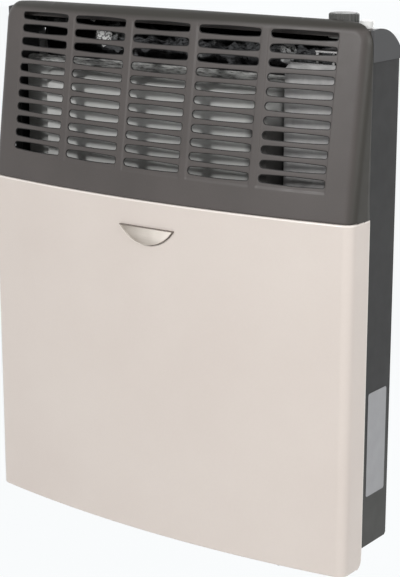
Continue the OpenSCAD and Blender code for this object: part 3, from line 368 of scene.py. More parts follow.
def coil_spring(name, node, turns):
    """A wound spring with closed ends, made at its rest length in its node's box."""
    low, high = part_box(node)
    centre = (low + high) / 2
    tall = high.z - low.z
    wire_radius = 0.6 * MM
    coil_radius = (high.x - low.x) / 2 - wire_radius
    end_rise = 2.1 * wire_radius
    open_rise = tall - 2 * wire_radius - 2 * end_rise
    steps = 20 * turns
    sides = 10
    points = []
    for k in range(steps + 1):
        turn = turns * k / steps
        ends = min(turn, 1.0) + max(0.0, turn - turns + 1)
        opened = min(1.0, max(0.0, (turn - 1) / (turns - 2)))
        z = low.z + wire_radius + end_rise * ends + open_rise * opened
        a = 2 * math.pi * turn
        for j in range(sides):
            b = 2 * math.pi * j / sides
            reach = coil_radius + wire_radius * math.cos(b)
            points.append((centre.x + reach * math.cos(a), centre.y + reach * math.sin(a),
                           z + wire_radius * math.sin(b)))
    faces = [(k * sides + j, (k + 1) * sides + j, (k + 1) * sides + (j + 1) % sides,
              k * sides + (j + 1) % sides) for k in range(steps) for j in range(sides)]
    faces += [tuple(range(sides)), tuple(range(len(points) - 1, len(points) - 1 - sides, -1))]
    spring = add_piece(name, points, faces, steel, node)
    smoothed(spring, 0)
    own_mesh(spring)


die_cast, place = new_finish("die_cast_zinc", Metallic=0.7)
skin = noise(place, 45, 4, 0.6)
pores = cells(place, 900, "Distance")
feed(die_cast,
     Base_Color=tinted(uneven(skin), paint(140, 142, 145), paint(172, 174, 176)),
     Roughness=uneven(skin, 0.45, 0.6),
     Normal=bump(pores * 0.4 + noise(place, 700, 3) * 0.6, 0.05 * MM))
dress(die_cast, "valve_body", "valve_bonnet", edge=0.4 * MM)
dress(steel, "magnet_unit", "valve_spindle")
dress(brass, "valve_plunger")
coil_spring("knob_spring_wound", "spindle_spring", turns=4)


# ---- Control knob ----
# Moulded phenolic, warm dark grey with a dull gloss, with upright ridges round it for grip and one
# pointer groove on top. It pushes onto the flat of the valve's spindle.
def moulded(name, light, dark, roughness, grain):
    """Moulded plastic: even colour with a fine spark-eroded texture and handling sheen."""
    made, place = new_finish(name, Specular_IOR_Level=0.3)
    cloud = noise(place, 40, 3)
    spark = noise(place, grain, 3, 0.6)
    feed(made,
         Base_Color=tinted(uneven(cloud * 0.6 + spark * 0.4), dark, light),
         Roughness=uneven(cloud, roughness - 0.05, roughness + 0.05),
         Normal=bump(spark, 0.02 * MM))
    return made


knob_plastic = moulded("knob_phenolic", paint(86, 86, 84), paint(75, 75, 73), 0.42, 1600)
dress(knob_plastic, "control_knob", edge=0.3 * MM)


# ---- Gas inlet and pipes ----
# The brass inlet fitting stands in a galvanised bracket with its pipe thread below the case. Copper
# pipes run from it to the valve, and from the valve to the burner and the pilot, with brass nuts.
dress(brass, "inlet_fitting", "pipe_nuts", edge=0.3 * MM)
dress(galvanised, "fitting_bracket")
dress(copper, "inlet_pipe", "burner_pipe", "pilot_pipe", edge=0)


# ---- Igniter ----
# A white moulded piezo igniter: its barrel hangs under the control plate on a steel nut, its button
# springs back after each push, and a silicone lead takes the spark to the electrode.
white_plastic = moulded("white_plastic", paint(238, 238, 236), paint(230, 230, 227), 0.36, 1400)
lead_rubber = moulded("lead_silicone", paint(232, 230, 224), paint(216, 214, 207), 0.55, 1800)
dress(white_plastic, "igniter_body", "igniter_button", edge=0.3 * MM)
dress(steel, "igniter_nut")
coil_spring("button_spring_wound", "igniter_spring", turns=7)
dress(lead_rubber, "spark_lead", edge=0)


# ---- Top sheet and end caps ----
# The curved top is the same satin grey sheet as the grille. The quarter-round end caps are moulded
# in a slightly lighter grey, and two pegs on each push into the side panel.
def painted_edge_shade(place):
    """The rolled edges of the grille, painted a darker, greener grey as painted shade where they
    turn away from the light.
    """
    across = measured(place, "X")
    side = spread(across.math("ABSOLUTE", across), 256 * MM, 263 * MM)
    return either(side, spread(measured(place, "Z"), 312 * MM, 317 * MM))


# its rolled edges are painted darker as painted shade
grille_paint = satin_paint("grille_enamel", paint(88, 83, 81), paint(79, 75, 73), 0.4, 800,
                           painted_edge_shade, paint(60, 58, 54))
dress(grille_paint, "top_sheet", edge=0.3 * MM)
grey_plastic = moulded("grey_plastic", paint(74, 74, 75), paint(67, 67, 68), 0.48, 1500)
dress(grey_plastic, "end_cap_left", "end_cap_right", edge=0.6 * MM)


# ---- Foil lining ----
# Thin aluminium foil over a felt, crumpled by hand into the back of the top to throw the heat
# forward. It follows the back panel and then the inside of the curved top.
def thicken(piece, thickness, edge=0):
    """Makes a sheet solid behind its visible face and breaks its cut edges."""
    solid = piece.modifiers.new("sheet thickness", "SOLIDIFY")
    solid.thickness = thickness
    solid.offset = -1.0
    solid.use_even_offset = True
    smoothed(piece, edge, 60.0)


# dark grey as painted shade, with creases, and with painted glints at random and at listed crumples,
# broken by crease lines: place in metres, reach and brightness of each painted glint
painted_glint_spots = (
    ((-0.160, -0.010, 0.277), 17 * MM, 1.0),
    ((-0.165, -0.020, 0.293), 8 * MM, 0.6),
    ((0.116, -0.010, 0.275), 17 * MM, 0.45),
    ((-0.060, -0.030, 0.240), 9 * MM, 0.6))
foil, place = new_finish("crumpled_foil")
painted_glints = spread(noise(place, 30, 3), 0.62, 0.7, 0.0, 0.3)
ragged = noise(place, 110, 3) * (16 * MM) - 8 * MM
ridge = noise(place, 90, 4, 0.6) - 0.5
crease = spread(ridge.math("ABSOLUTE", ridge), 0.0, 0.05, 0.1)
for spot, reach, glint_level in painted_glint_spots:
    away = place.node("VectorMath", {"operation": "DISTANCE"}, {0: place, 1: spot}, "Value")
    painted_glints = either(painted_glints, spread(away + ragged, 0.7 * reach, 0.8 * reach, glint_level, 0.0) * crease)
feed(foil,
     Base_Color=tinted(painted_glints, tinted(noise(place, 40, 4), paint(40, 40, 41), paint(92, 92, 93)),
                       paint(252, 252, 250)),
     Metallic=1.0 - painted_glints * 0.9,
     Roughness=uneven(noise(place, 120, 3), 0.08, 0.18),
     Normal=bump(noise(place, 160, 2), 0.4 * MM, 0.5))

foil_low, foil_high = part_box("foil_lining")
foil_deep = 2 * MM  # of the foil's mean surface within the lining
arc_radius = 54.75 * MM  # of that surface under the curved top
arc_z = foil_high.z - arc_radius - foil_deep
arc_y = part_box("top_sheet")[0].y + 11.6 * MM
slab_y = foil_high.y - foil_deep
arc_start = math.acos((slab_y - arc_y) / arc_radius)
arc_end = math.radians(94)
slab_top = arc_z + arc_radius * math.sin(arc_start)
slab_foot = foil_low.z + 4 * MM
facet = 9 * MM
foil_rows = round((slab_top - slab_foot + arc_radius * (arc_end - arc_start)) / facet)
foil_columns = round((foil_high.x - foil_low.x) / facet)
hands = np.random.default_rng(11)


def foil_place(run, x, lift):
    """A point on the lining, at a distance along its section, lifted towards the room."""
    straight = slab_top - slab_foot
    if run < straight:
        return (x, slab_y - lift, slab_foot + run)
    a = arc_start + (run - straight) / arc_radius
    reach = arc_radius - lift
    return (x, arc_y + reach * math.cos(a), arc_z + reach * math.sin(a))


# broad dents over three facets each way, and a small one at each corner of a facet
broad = hands.uniform(-0.8, 0.8, (foil_rows // 3 + 2, foil_columns // 3 + 2)) * MM
points = []
for r in range(foil_rows + 1):
    for c in range(foil_columns + 1):
        i, j = r // 3, c // 3
        u, v = r / 3 - i, c / 3 - j
        dents = broad[i:i + 2, j:j + 2]
        dent = float((dents[0] * (1 - u) + dents[1] * u) @ (1 - v, v))
        lift = dent + hands.uniform(-0.9, 0.9) * MM
        shift = hands.uniform(-0.36, 0.36, 2)
        row = r + shift[0] * (0 < r < foil_rows)
        column = c + shift[1] * (0 < c < foil_columns)
        points.append(foil_place(row * facet, foil_low.x + column * facet, lift))
faces = []
for r in range(foil_rows):
    for c in range(foil_columns):
        a = r * (foil_columns + 1) + c
        b, d, e = a + 1, a + foil_columns + 2, a + foil_columns + 1
        faces += [(a, b, d), (a, d, e)] if hands.random() < 0.5 else [(a, b, e), (b, d, e)]
lining = add_piece("foil_crumpled", points, faces, foil, "foil_lining")
thicken(lining, 0.2 * MM)
lining.data.polygons.foreach_set("use_smooth", [False] * len(faces))


# ---- Front cover ----
# One pressed steel sheet with a bowed front, folded round the sides and in along the top, the foot
# and the rear edges, then stove enamelled beige. Two screws through its lower fold hold it.
cover_low, cover_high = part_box("front_cover")
cover_foot, cover_top = cover_low.z, cover_high.z
cover_front = cover_low.y
rear_y = cover_high.y - cover_front
box_gap = 0.02 * MM  # keeps the bevelled edges inside the piece's box
half_width = cover_high.x - box_gap
bow_depth = 23.4 * MM
bow_radius = (half_width ** 2 + bow_depth ** 2) / (2 * bow_depth)
side_radius = 14 * MM  # of the bend from the front to the side returns
edge_x = half_width - side_radius
edge_angle = math.asin(edge_x / (bow_radius - side_radius))
edge_y = bow_radius - (bow_radius - side_radius) * math.cos(edge_angle)
BOW_STEPS, SIDE_STEPS, WALL_ROWS = 96, 10, 14
sheet = 1.0 * MM
bend = 2.0 * MM  # radius of the bends to the folds
fold_width = 11 * MM
corner = 12 * MM  # radius of the returns' lower rear corners
fold_end = rear_y - corner
hem_radius = 1.5 * MM
hem_width = 3.7 * MM
hem_start = rear_y - hem_radius
TINY = 1e-6


def bow_y(x, inset=0.0):
    """How far a point of the bowed front lies behind its foremost line."""
    return bow_radius - math.sqrt((bow_radius - inset) ** 2 - x * x)


def bowed_plan():
    """Front outline seen from above, from side to side: x, y and the outward normal."""
    right = []
    for k in range(SIDE_STEPS):
        a = math.pi / 2 + (edge_angle - math.pi / 2) * k / SIDE_STEPS
        right.append((edge_x + side_radius * math.sin(a), edge_y - side_radius * math.cos(a),
                      math.sin(a), -math.cos(a)))
    line = [(-x, y, -nx, ny) for x, y, nx, ny in right]
    for k in range(BOW_STEPS + 1):
        a = edge_angle * (2 * k / BOW_STEPS - 1)
        line.append((bow_radius * math.sin(a), bow_radius - bow_radius * math.cos(a),
                     math.sin(a), -math.cos(a)))
    return line + right[::-1]


def bend_profile(foot, steps=5):
    """Fold that turns in from a wall: pairs of inset and height, from its free edge outward.
    foot is +1 for a fold at the lower edge and -1 for one at the upper edge."""
    profile = [(fold_width, 0.0), ((fold_width + bend) / 2, 0.0)]
    for k in range(steps + 1):
        a = math.pi / 2 * k / steps
        profile.append((bend * (1 - math.sin(a)), foot * bend * (1 - math.cos(a))))
    return profile


# outline of the cover from its left hem round the front to its right hem
toward_corner = [edge_y + (fold_end - edge_y) * t for t in (0.5, 1.0)]
round_corner = [fold_end + (hem_start - fold_end) * t
                for t in (0.15, 0.35, 0.5, 0.62, 0.72, 0.8, 0.86, 0.91, 0.95, 0.98, 1.0)]
right_end = [(half_width, y, 1.0, 0.0) for y in toward_corner + round_corner]
right_end += [(half_width - hem_radius * (1 - math.cos(a)), hem_start + hem_radius * math.sin(a),
               math.cos(a), math.sin(a)) for a in (math.pi / 6, math.pi / 3, math.pi / 2)]
right_end.append((half_width - hem_width, rear_y, 0.0, 1.0))
left_end = [(-x, y, -nx, ny) for x, y, nx, ny in reversed(right_end)]
around = left_end + bowed_plan() + right_end

# inset and height of each row of points, from the foot's fold to the top's
foot_profile = bend_profile(1)
bend_rows = len(foot_profile)
wall_height = cover_top - cover_foot
high_start = corner + 2 * bend
levels = foot_profile + [(0.0, bend + (corner + bend) * k / 4) for k in range(1, 5)]
levels += [(0.0, high_start + (wall_height - bend - high_start) * k / WALL_ROWS)
           for k in range(1, WALL_ROWS)]
levels += [(inset, wall_height + lift) for inset, lift in reversed(bend_profile(-1))]


def return_foot(y):
    """Height of a return's rounded lower rear corner."""
    if y <= fold_end:
        return 0.0
    t = min(1.0, (y - fold_end) / (hem_start - fold_end))
    return corner * (1 - math.sqrt(1 - t * t))


points = []
for row, (inset, lift) in enumerate(levels):
    for x, y, nx, ny in around:
        height, inward = lift, inset
        if y > fold_end + TINY and row < bend_rows - 1:
            height, inward = 0.0, 0.0
        if y > fold_end + TINY and row > len(levels) - bend_rows:
            height, inward = wall_height, 0.0
        floor = return_foot(y)
        if floor and height < high_start:
            height = floor + height * (high_start - floor) / high_start
        points.append((x - inward * nx, cover_front + y - inward * ny, cover_foot + height))


def cover_cell(r, c):
    """Leaves out the folds behind the returns' notches, and the hems at the round corners."""
    rear = max(around[c][1], around[c + 1][1])
    if rear > hem_start + TINY and r < bend_rows + 3:
        return False
    return rear <= fold_end + TINY or bend_rows - 2 <= r <= len(levels) - bend_rows


faces = []
for r in range(len(levels) - 1):
    for c in range(len(around) - 1):
        if cover_cell(r, c):
            a = r * len(around) + c
            faces.append((a, a + 1, a + len(around) + 1, a + len(around)))
enamel, place = new_finish("cover_enamel", Coat_Weight=0.25, Coat_Roughness=0.16)
peel = noise(place, 420, 2, 0.55)
tone = noise(place, 7, 3)
beige = tinted(uneven(tone * 0.75 + peel * 0.25),
               paint(212, 201, 193), paint(217, 207, 199))
# a painted highlight along the top bend and along the rear hems
painted_bend_highlight = spread(measured(place, "Z"), cover_top - 2.2 * MM, cover_top - 1.2 * MM)
painted_hem_highlight = spread(measured(place, "Y"), cover_high.y - 3.0 * MM, cover_high.y - 1.6 * MM)
feed(enamel,
     Base_Color=tinted(either(painted_bend_highlight, painted_hem_highlight), beige, paint(240, 232, 225)),
     Roughness=uneven(noise(place, 50, 3), 0.3, 0.38),
     Normal=bump(peel, 0.025 * MM))
cover = add_piece("cover_sheet", points, faces, enamel, "front_cover")
thicken(cover, sheet, 0.2 * MM)
dress(steel, "cover_screws", edge=0.15 * MM)


# ---- Grille ----
# Pressed from one steel sheet that leans back, with five columns of eleven slots in shallow
# recessed panels, sides and top rolled over, and a fold along the foot. It is finished in satin
# warm grey enamel and held behind the cover's fold.
grille_low, grille_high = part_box("grille")
grille_foot = grille_low.z
grille_rear = grille_high.y
set_back = 1.5 * MM  # of its foot behind the cover's front
knob_up = 4 * MM  # from the grille's top to the knob's
grille_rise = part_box("control_knob")[1].z - knob_up - grille_foot
lean = math.atan(32 * MM / grille_rise)
lean_sin, lean_cos = math.sin(lean), math.cos(lean)
grille_height = (grille_rise + side_radius * lean_sin) / lean_cos
panel_top = grille_height - side_radius
corner_inset = 10 * MM  # of the top corners' arc, within the rolled edges
start_z = 30 * MM  # above this height the rows are level
level_side = 235 * MM  # and they are level this far to each side

COLUMNS, ROWS = 5, 11
mullion = 13.7 * MM
slot_margin = 37.3 * MM
lowest_slot, highest_slot = 41.9 * MM, 21.0 * MM
row_pitch = (grille_height - highest_slot - lowest_slot) / (ROWS - 1)
slot_width = (2 * half_width - 2 * slot_margin - (COLUMNS - 1) * mullion) / COLUMNS
half_slot = slot_width / 2
slot_x = [slot_margin + half_slot + c * (slot_width + mullion) - half_width for c in range(COLUMNS)]
slot_z = [lowest_slot + r * row_pitch for r in range(ROWS)]
slot_mid, slot_end = 9.8 * MM, 8.0 * MM  # heights of a slot at its middle and left end
end_radius = slot_end / 2
square_radius = 2.4 * MM  # of the corners at a slot's right end
lip_roll = 0.35 * MM
lip_depth = 1.0 * MM
flare = 1.0 * MM
flare_depth = 0.12 * MM

# each slot lies in a cell of the front's grid, and each column of cells in a recessed panel
ACROSS, UP = 24, 8
cell_side = half_slot + 1.3 * MM
cell_half = row_pitch / 2
lowest_cell = slot_z[0] - cell_half
top_row = slot_z[-1] - cell_half
recess = 0.7 * MM
ramp_left, ramp_right = 3.0 * MM, 0.9 * MM
foot_ramp, top_ramp = 4.0 * MM, 5.6 * MM


def leaned(x, y, z):
    """Takes a point of the upright grille to its place in the frame."""
    return (x, cover_front + set_back + y * lean_cos + z * lean_sin,
            grille_foot - y * lean_sin + z * lean_cos)


def foot_z(y, lift=0.0):
    """Upright height at which the leaned grille is level with its foot."""
    return y * lean_sin / lean_cos + lift / lean_cos


def ease(t):
    t = min(1.0, max(0.0, t))
    return t * t * (3 - 2 * t)


def recess_at(x, z):
    """Depth of the recessed panels at a point of the front."""
    depth = 0.0
    for centre in slot_x:
        u = x - centre
        if -cell_side - ramp_left < u < cell_side + ramp_right:
            depth = ease((u + cell_side + ramp_left) / ramp_left)
            depth *= ease((cell_side + ramp_right - u) / ramp_right)
    depth *= ease((z - lowest_cell + foot_ramp) / foot_ramp)
    depth *= ease((panel_top - z) / top_ramp)
    return recess * depth


def front_point(x, z, raised, depth=0.0):
    """A point of the front that is raised so that the rows are level in the leaned grille."""
    return leaned(x, bow_y(x) + recess_at(x, z) + depth, z + raised)


# lines of the front's grid, with the index of each slot cell's first line
z_lines = [0.0, 0.25 * start_z, 0.6 * start_z]
z_lines += [lowest_cell - foot_ramp * t for t in (1.0, 0.75, 0.5, 0.25)]
cell_z = []
for r in range(ROWS):
    cell_z.append(len(z_lines))
    bottom = slot_z[r] - cell_half
    top = bottom + row_pitch if r < ROWS - 1 else panel_top
    z_lines += [bottom + (top - bottom) * k / UP for k in range(UP)]
z_lines.append(panel_top)
corner_z = panel_top - corner_inset
corner_j = min(range(len(z_lines)), key=lambda k: abs(z_lines[k] - corner_z))
z_lines[corner_j] = corner_z
corner_steps = [(z - corner_z) / corner_inset for z in z_lines[corner_j:]]

widen = bow_radius / (bow_radius - side_radius)
corner_x = edge_x - corner_inset
corner_lines = [(corner_x + corner_inset * t) * widen for t in corner_steps]
x_lines = [-x for x in reversed(corner_lines)]
cell_x = []
for centre in slot_x:
    left, right = centre - cell_side, centre + cell_side
    x_lines += [left - ramp_left * t for t in (1.0, 0.75, 0.5, 0.25)]
    cell_x.append(len(x_lines))
    x_lines += [left + (right - left) * k / ACROSS for k in range(ACROSS + 1)]
    x_lines += [right + ramp_right * t for t in (0.33, 0.66, 1.0)]
x_lines += corner_lines
LAST_I, LAST_J = len(x_lines) - 1, len(z_lines) - 1


def front_place(i, j):
    """Where two of the front's lines cross, with the top corners drawn in to an arc."""
    x, z = x_lines[i], z_lines[j]
    across = (abs(x) / widen - corner_x) / corner_inset
    up = (z - corner_z) / corner_inset
    if across < TINY or up < TINY:
        return x, z
    ring = max(across, up)
    angle = math.pi / 4 * up / across if across >= up else math.pi / 2 - math.pi / 4 * across / up
    return (math.copysign((corner_x + corner_inset * ring * math.cos(angle)) * widen, x),
            corner_z + corner_inset * ring * math.sin(angle))


def level_z(z, y):
    """Draws the lowest lines down to the grille's level foot."""
    foot = foot_z(y, bend)
    return z if z >= start_z else foot + z / start_z * (start_z - foot)


def line_rise(x, z):
    """How far a crossing of the front's lines is raised to keep the rows level."""
    raised = foot_z(bow_y(x)) if abs(x) < level_side else 0.0
    if z < start_z:
        foot = foot_z(bow_y(x), bend)
        return foot + z / start_z * (start_z + raised - foot) - z
    return raised * min(1.0, (panel_top - z) / (panel_top - top_row))


points, faces = [], []


def add_point(point):
    points.append(point)
    return len(points) - 1


cell_squares = {(i0 + i, j0 + j) for i0 in cell_x for j0 in cell_z
                for i in range(ACROSS) for j in range(UP)}
inside_cell = {(i, j) for i, j in cell_squares if i not in cell_x and j not in cell_z}
front = {}
for j in range(LAST_J + 1):
    for i in range(LAST_I + 1):
        if (i, j) not in inside_cell:
            x, z = front_place(i, j)
            front[i, j] = add_point(front_point(x, z, line_rise(x, z)))
for j in range(LAST_J):
    for i in range(LAST_I):
        if (i, j) not in cell_squares:
            faces.append((front[i, j], front[i + 1, j], front[i + 1, j + 1], front[i, j + 1]))


def slot_outline():
    """One slot seen from the front, from its lower left corner round: x, z, outward normal."""
    run = half_slot - end_radius
    crown = (slot_mid - slot_end) / 2
    arc = (run * run + crown * crown) / (2 * crown)
    square_x = half_slot - square_radius
    edge = slot_mid / 2 - arc + math.sqrt(arc * arc - square_x * square_x)
    square_z = edge - square_radius
    upper = [(-run - end_radius * math.cos(a), end_radius * math.sin(a))
             for a in (math.pi / 4, math.pi / 3, 5 * math.pi / 12)]
    middle = ACROSS - 5
    for k in range(middle + 1):
        x = -run + (square_x + run) * k / middle
        upper.append((x, slot_mid / 2 - arc + math.sqrt(arc * arc - x * x)))
    upper += [(square_x + square_radius * math.cos(a), square_z + square_radius * math.sin(a))
              for a in (3 * math.pi / 8, math.pi / 4)]
    lower = [(x, -z) for x, z in upper]
    right = [(square_x + square_radius * math.cos(math.pi / 8),
              -square_z - square_radius * math.sin(math.pi / 8))]
    right += [(half_slot, square_z * (k / 2 - 1)) for k in range(5)]
    right.append((right[0][0], -right[0][1]))
    left = [(-run + end_radius * math.cos(a), end_radius * math.sin(a))
            for a in (math.pi * (3 / 4 + k / 16) for k in range(1, 8))]
    loop = lower + right + upper[::-1] + left
    ringed = []
    for k, (x, z) in enumerate(loop):
        ahead, behind = loop[(k + 1) % len(loop)], loop[k - 1]
        along_x, along_z = ahead[0] - behind[0], ahead[1] - behind[1]
        length = math.hypot(along_x, along_z)
        ringed.append((x, z, along_z / length, -along_x / length))
    return ringed


# rings of each slot's lip, outside and behind its outline: a shallow flare that is rolled in
outline = slot_outline()
lip = [(flare, 0.0)]
lip += [(lip_roll * (1 - math.sin(a)), flare_depth + lip_roll * (1 - math.cos(a)))
        for a in (math.pi / 2 * k / 5 for k in range(6))]
lip += [(0.0, (flare_depth + lip_roll + lip_depth) / 2), (0.0, lip_depth)]
top_land = 0.4 * MM  # left between the top row's flare and the rolled edge
flared = set()
for c, i0 in enumerate(cell_x):
    for r, j0 in enumerate(cell_z):
        level_share = 1.0 if r < ROWS - 1 else 0.75
        i1, j1 = i0 + ACROSS, j0 + UP
        around_cell = [front[i, j0] for i in range(i0, i1)] + [front[i1, j] for j in range(j0, j1)]
        around_cell += [front[i, j1] for i in range(i1, i0, -1)]
        around_cell += [front[i0, j] for j in range(j1, j0, -1)]
        rings = [around_cell]
        for out, depth in lip:
            ring = []
            for x, z, nx, nz in outline:
                px = slot_x[c] + x + out * nx
                raised = level_share * foot_z(bow_y(px))
                pz = min(slot_z[r] + z + out * nz, panel_top - top_land - raised)
                ring.append(add_point(front_point(px, pz, raised, depth)))
            rings.append(ring)
        for step, (outer, inner) in enumerate(zip(rings, rings[1:])):
            if step:
                flared.update(range(len(faces), len(faces) + len(outer)))
            for k in range(len(outer)):
                n = (k + 1) % len(outer)
                faces.append((outer[k], outer[n], inner[n], inner[k]))

# rolled edge and side walls, from the right foot over the top to the left foot
edge_line = [(LAST_I, j) for j in range(LAST_J + 1)]
edge_line += [(i, LAST_J) for i in range(LAST_I - 1, -1, -1)]
edge_line += [(0, j) for j in range(LAST_J - 1, -1, -1)]
ROLL_STEPS, WALL_STEPS = 8, 4
short_wall = 3 * MM


class Roll:
    """The rolled edge where it turns from the front, with normal n, to a wall with normal m."""

    def __init__(self, centre, n, m):
        self.centre, self.n, self.m = centre, n, m
        self.whole = math.acos(float(np.dot(n, m)))

    def at(self, t):
        """Place and normal at a share of the turn."""
        way = math.sin((1 - t) * self.whole) * self.n + math.sin(t * self.whole) * self.m
        way = way / math.sin(self.whole)
        return self.centre + side_radius * way, way

    def steps(self, wall):
        """Places along the roll and its wall: share of the turn and distance along the wall.
        A wall less than nothing long means that the roll itself is cut at the rear edge."""
        if wall >= short_wall:
            return ([(k / ROLL_STEPS, 0.0) for k in range(1, ROLL_STEPS + 1)]
                    + [(1.0, wall * k / WALL_STEPS) for k in range(1, WALL_STEPS + 1)])
        turn = side_radius * self.whole
        begin, end = 0.0, 1.0
        if wall < 0:
            wall = 0.0
            for _ in range(30):
                middle = (begin + end) / 2
                cut = leaned(*self.at(middle)[0])[1] > grille_rear
                begin, end = (begin, middle) if cut else (middle, end)
        rolled = end * turn
        steps = []
        for k in range(1, ROLL_STEPS + WALL_STEPS + 1):
            run = (rolled + wall) * k / (ROLL_STEPS + WALL_STEPS)
            steps.append((min(run, rolled) / turn, max(0.0, run - rolled)))
        return steps


edge_rows = []
plan_at_foot = {}
for i, j in edge_line:
    x, z = front_place(i, j)
    cx = x / widen
    cy = bow_y(cx, side_radius)
    out_x = max(0.0, abs(cx) - corner_x) / corner_inset
    out_z = max(0.0, z - corner_z) / corner_inset
    if j < corner_j or out_z < TINY:
        out_x, out_z = 1.0, 0.0
    elif out_x < TINY:
        out_x, out_z = 0.0, 1.0
    length = math.hypot(out_x, out_z)
    m = np.array([math.copysign(out_x / length, x), 0.0, out_z / length])
    n = np.array([cx, cy - bow_radius, 0.0]) / (bow_radius - side_radius)
    edge_roll = Roll(np.array([cx, cy, z]), n, m)
    wall_z = z + side_radius * m[2]
    wall = (grille_rear - cover_front - set_back - wall_z * lean_sin) / lean_cos - cy
    row = [front[i, j]]
    if j == 0:
        plan_at_foot[row[0]] = (x, bow_y(x), n[0], n[1])
    for t, back in edge_roll.steps(wall):
        (px, py, pz), way = edge_roll.at(t)
        py += back
        row.append(add_point(leaned(px, py, level_z(pz, py))))
        if j == 0:
            plan_at_foot[row[-1]] = (px, py, way[0], way[1])
    edge_rows.append(row)
for lower_row, upper_row in zip(edge_rows, edge_rows[1:]):
    for k in range(ROLL_STEPS + WALL_STEPS):
        faces.append((lower_row[k], lower_row[k + 1], upper_row[k + 1], upper_row[k]))

# hems that turn in from the side walls to the side panels
hem_top = grille_high.z - 48 * MM
for side_rows, turn in ((edge_rows[:corner_j + 1], 1), (edge_rows[-corner_j - 1:], -1)):
    held = [row[-1] for row in side_rows if points[row[-1]][2] <= hem_top]
    inner = [add_point((points[v][0] - turn * hem_width, points[v][1], points[v][2]))
             for v in held]
    for k in range(len(held) - 1):
        faces.append((held[k], inner[k], inner[k + 1], held[k + 1]))

# fold along the foot, with the side walls cut straight behind it
foot_line = edge_rows[-1][::-1] + [front[i, 0] for i in range(1, LAST_I)] + edge_rows[0]
for i in range(1, LAST_I):
    x = x_lines[i]
    plan_at_foot[front[i, 0]] = (x, bow_y(x), x / bow_radius, (bow_y(x) - bow_radius) / bow_radius)
fold_rows = foot_profile[-2::-1]
folds = {}
for v in foot_line:
    x, y, nx, ny = plan_at_foot[v]
    folds[v] = [v]
    for inset, lift in fold_rows:
        fy = y - inset * ny
        folds[v].append(add_point(leaned(x - inset * nx, fy, foot_z(fy, lift))))
straight = set(edge_rows[0][ROLL_STEPS:] + edge_rows[-1][ROLL_STEPS:])
cut_foot = {}
for v in straight:
    x, y = plan_at_foot[v][:2]
    cut_foot[v] = add_point(leaned(x, y, foot_z(y)))
for v, w in zip(foot_line, foot_line[1:]):
    if v in straight and w in straight:
        faces.append((cut_foot[v], cut_foot[w], w, v))
        continue
    for k in range(len(fold_rows)):
        faces.append((folds[v][k + 1], folds[w][k + 1], folds[w][k], folds[v][k]))
used = sorted({v for face in faces for v in face})
place_of = {v: k for k, v in enumerate(used)}
grille = add_piece("grille_pressing", [points[v] for v in used],
                   [tuple(place_of[v] for v in face) for face in faces],
                   grille_paint, "grille")
# the slots' flared lips are painted near black as painted shade
lip_painted_shade = satin_paint("slot_lip_painted_shade", paint(33, 31, 30), paint(26, 25, 24), 0.5, 800)
grille.data.materials.append(lip_painted_shade)
grille.data.polygons.foreach_set("material_index", [int(k in flared) for k in range(len(faces))])
thicken(grille, 0.9 * MM)


# ---- Badge ----
# A bare half-moon of bright satin metal, coined with a raised rim round a slightly sunk field, bent
# to the cover's bow and held on it by a thin adhesive layer.
badge_low, badge_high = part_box("badge")
badge_half = badge_high.x
badge_height = badge_high.z - badge_low.z
badge_radius = (badge_half ** 2 + badge_height ** 2) / (2 * badge_height)
badge_stand = (cover_front - badge_low.y) / MM
BADGE_STEPS = 40


def half_moon(inset):
    """Outline of the half-moon, rounded at its tips: along the arc, then back along the top."""
    reach = badge_radius - inset
    centre_z = badge_high.z - badge_height + badge_radius
    top = badge_high.z - inset
    half = math.sqrt(reach * reach - (centre_z - top) ** 2) - 0.35 * MM
    upper, lower = [], []
    for k in range(BADGE_STEPS + 1):
        t = math.sin(math.pi / 2 * (2 * k / BADGE_STEPS - 1))
        x = half * t
        tip = 0.3 * MM * (1 - math.sqrt(max(0.0, 1 - t ** 8)))
        upper.append((x, top - tip))
        lower.append((x, min(top - tip, centre_z - math.sqrt(reach * reach - x * x))))
    return lower + upper[::-1]


# inset from the outline and height over the cover, in mm, from the back edge in to the field
badge_rings = [(0.0, 0.1), (0.0, 2.0), (0.12, 2.35), (0.4, badge_stand), (1.1, badge_stand),
               (1.35, 2.5), (1.75, 1.95), (2.0, 1.85)]
RIM_RINGS = 4
points, faces = [], []
for inset, stand in badge_rings:
    radius = bow_radius + stand * MM
    for x, z in half_moon(inset * MM):
        points.append((x, cover_front + bow_radius - math.sqrt(radius * radius - x * x), z))
loop = 2 * (BADGE_STEPS + 1)
for ring in range(len(badge_rings) - 1):
    a, b = ring * loop, (ring + 1) * loop
    for k in range(loop):
        n = (k + 1) % loop
        faces.append((a + k, a + n, b + n, b + k))
field = (len(badge_rings) - 1) * loop
for k in range(BADGE_STEPS):
    faces.append((field + k, field + k + 1, field + loop - 2 - k, field + loop - 1 - k))
faces.append(tuple(range(loop - 1, -1, -1)))

# the field is brushed across; it is paler towards the right as painted sheen, and darker towards its
# foot as painted shade
badge_metal, place = new_finish("badge_metal", Metallic=0.4)
brushed = noise(scaled(place, (90, 90, 5200)), 1.0, 3)
cloud = noise(place, 30, 3)
painted_sheen_right = spread(measured(place, "X"), -badge_half, badge_half, 0.0, 0.9)
low = spread(measured(place, "Z"), badge_low.z, badge_low.z + 12 * MM, 0.35, 0.0)
feed(badge_metal,
     Base_Color=tinted(painted_sheen_right - low + (cloud * 0.6 + brushed * 0.4 - 0.4) * 0.6,
                       paint(146, 136, 126), paint(252, 243, 233)),
     Roughness=uneven(brushed * 0.6 + cloud * 0.4, 0.28, 0.4),
     Normal=bump(brushed, 0.01 * MM))
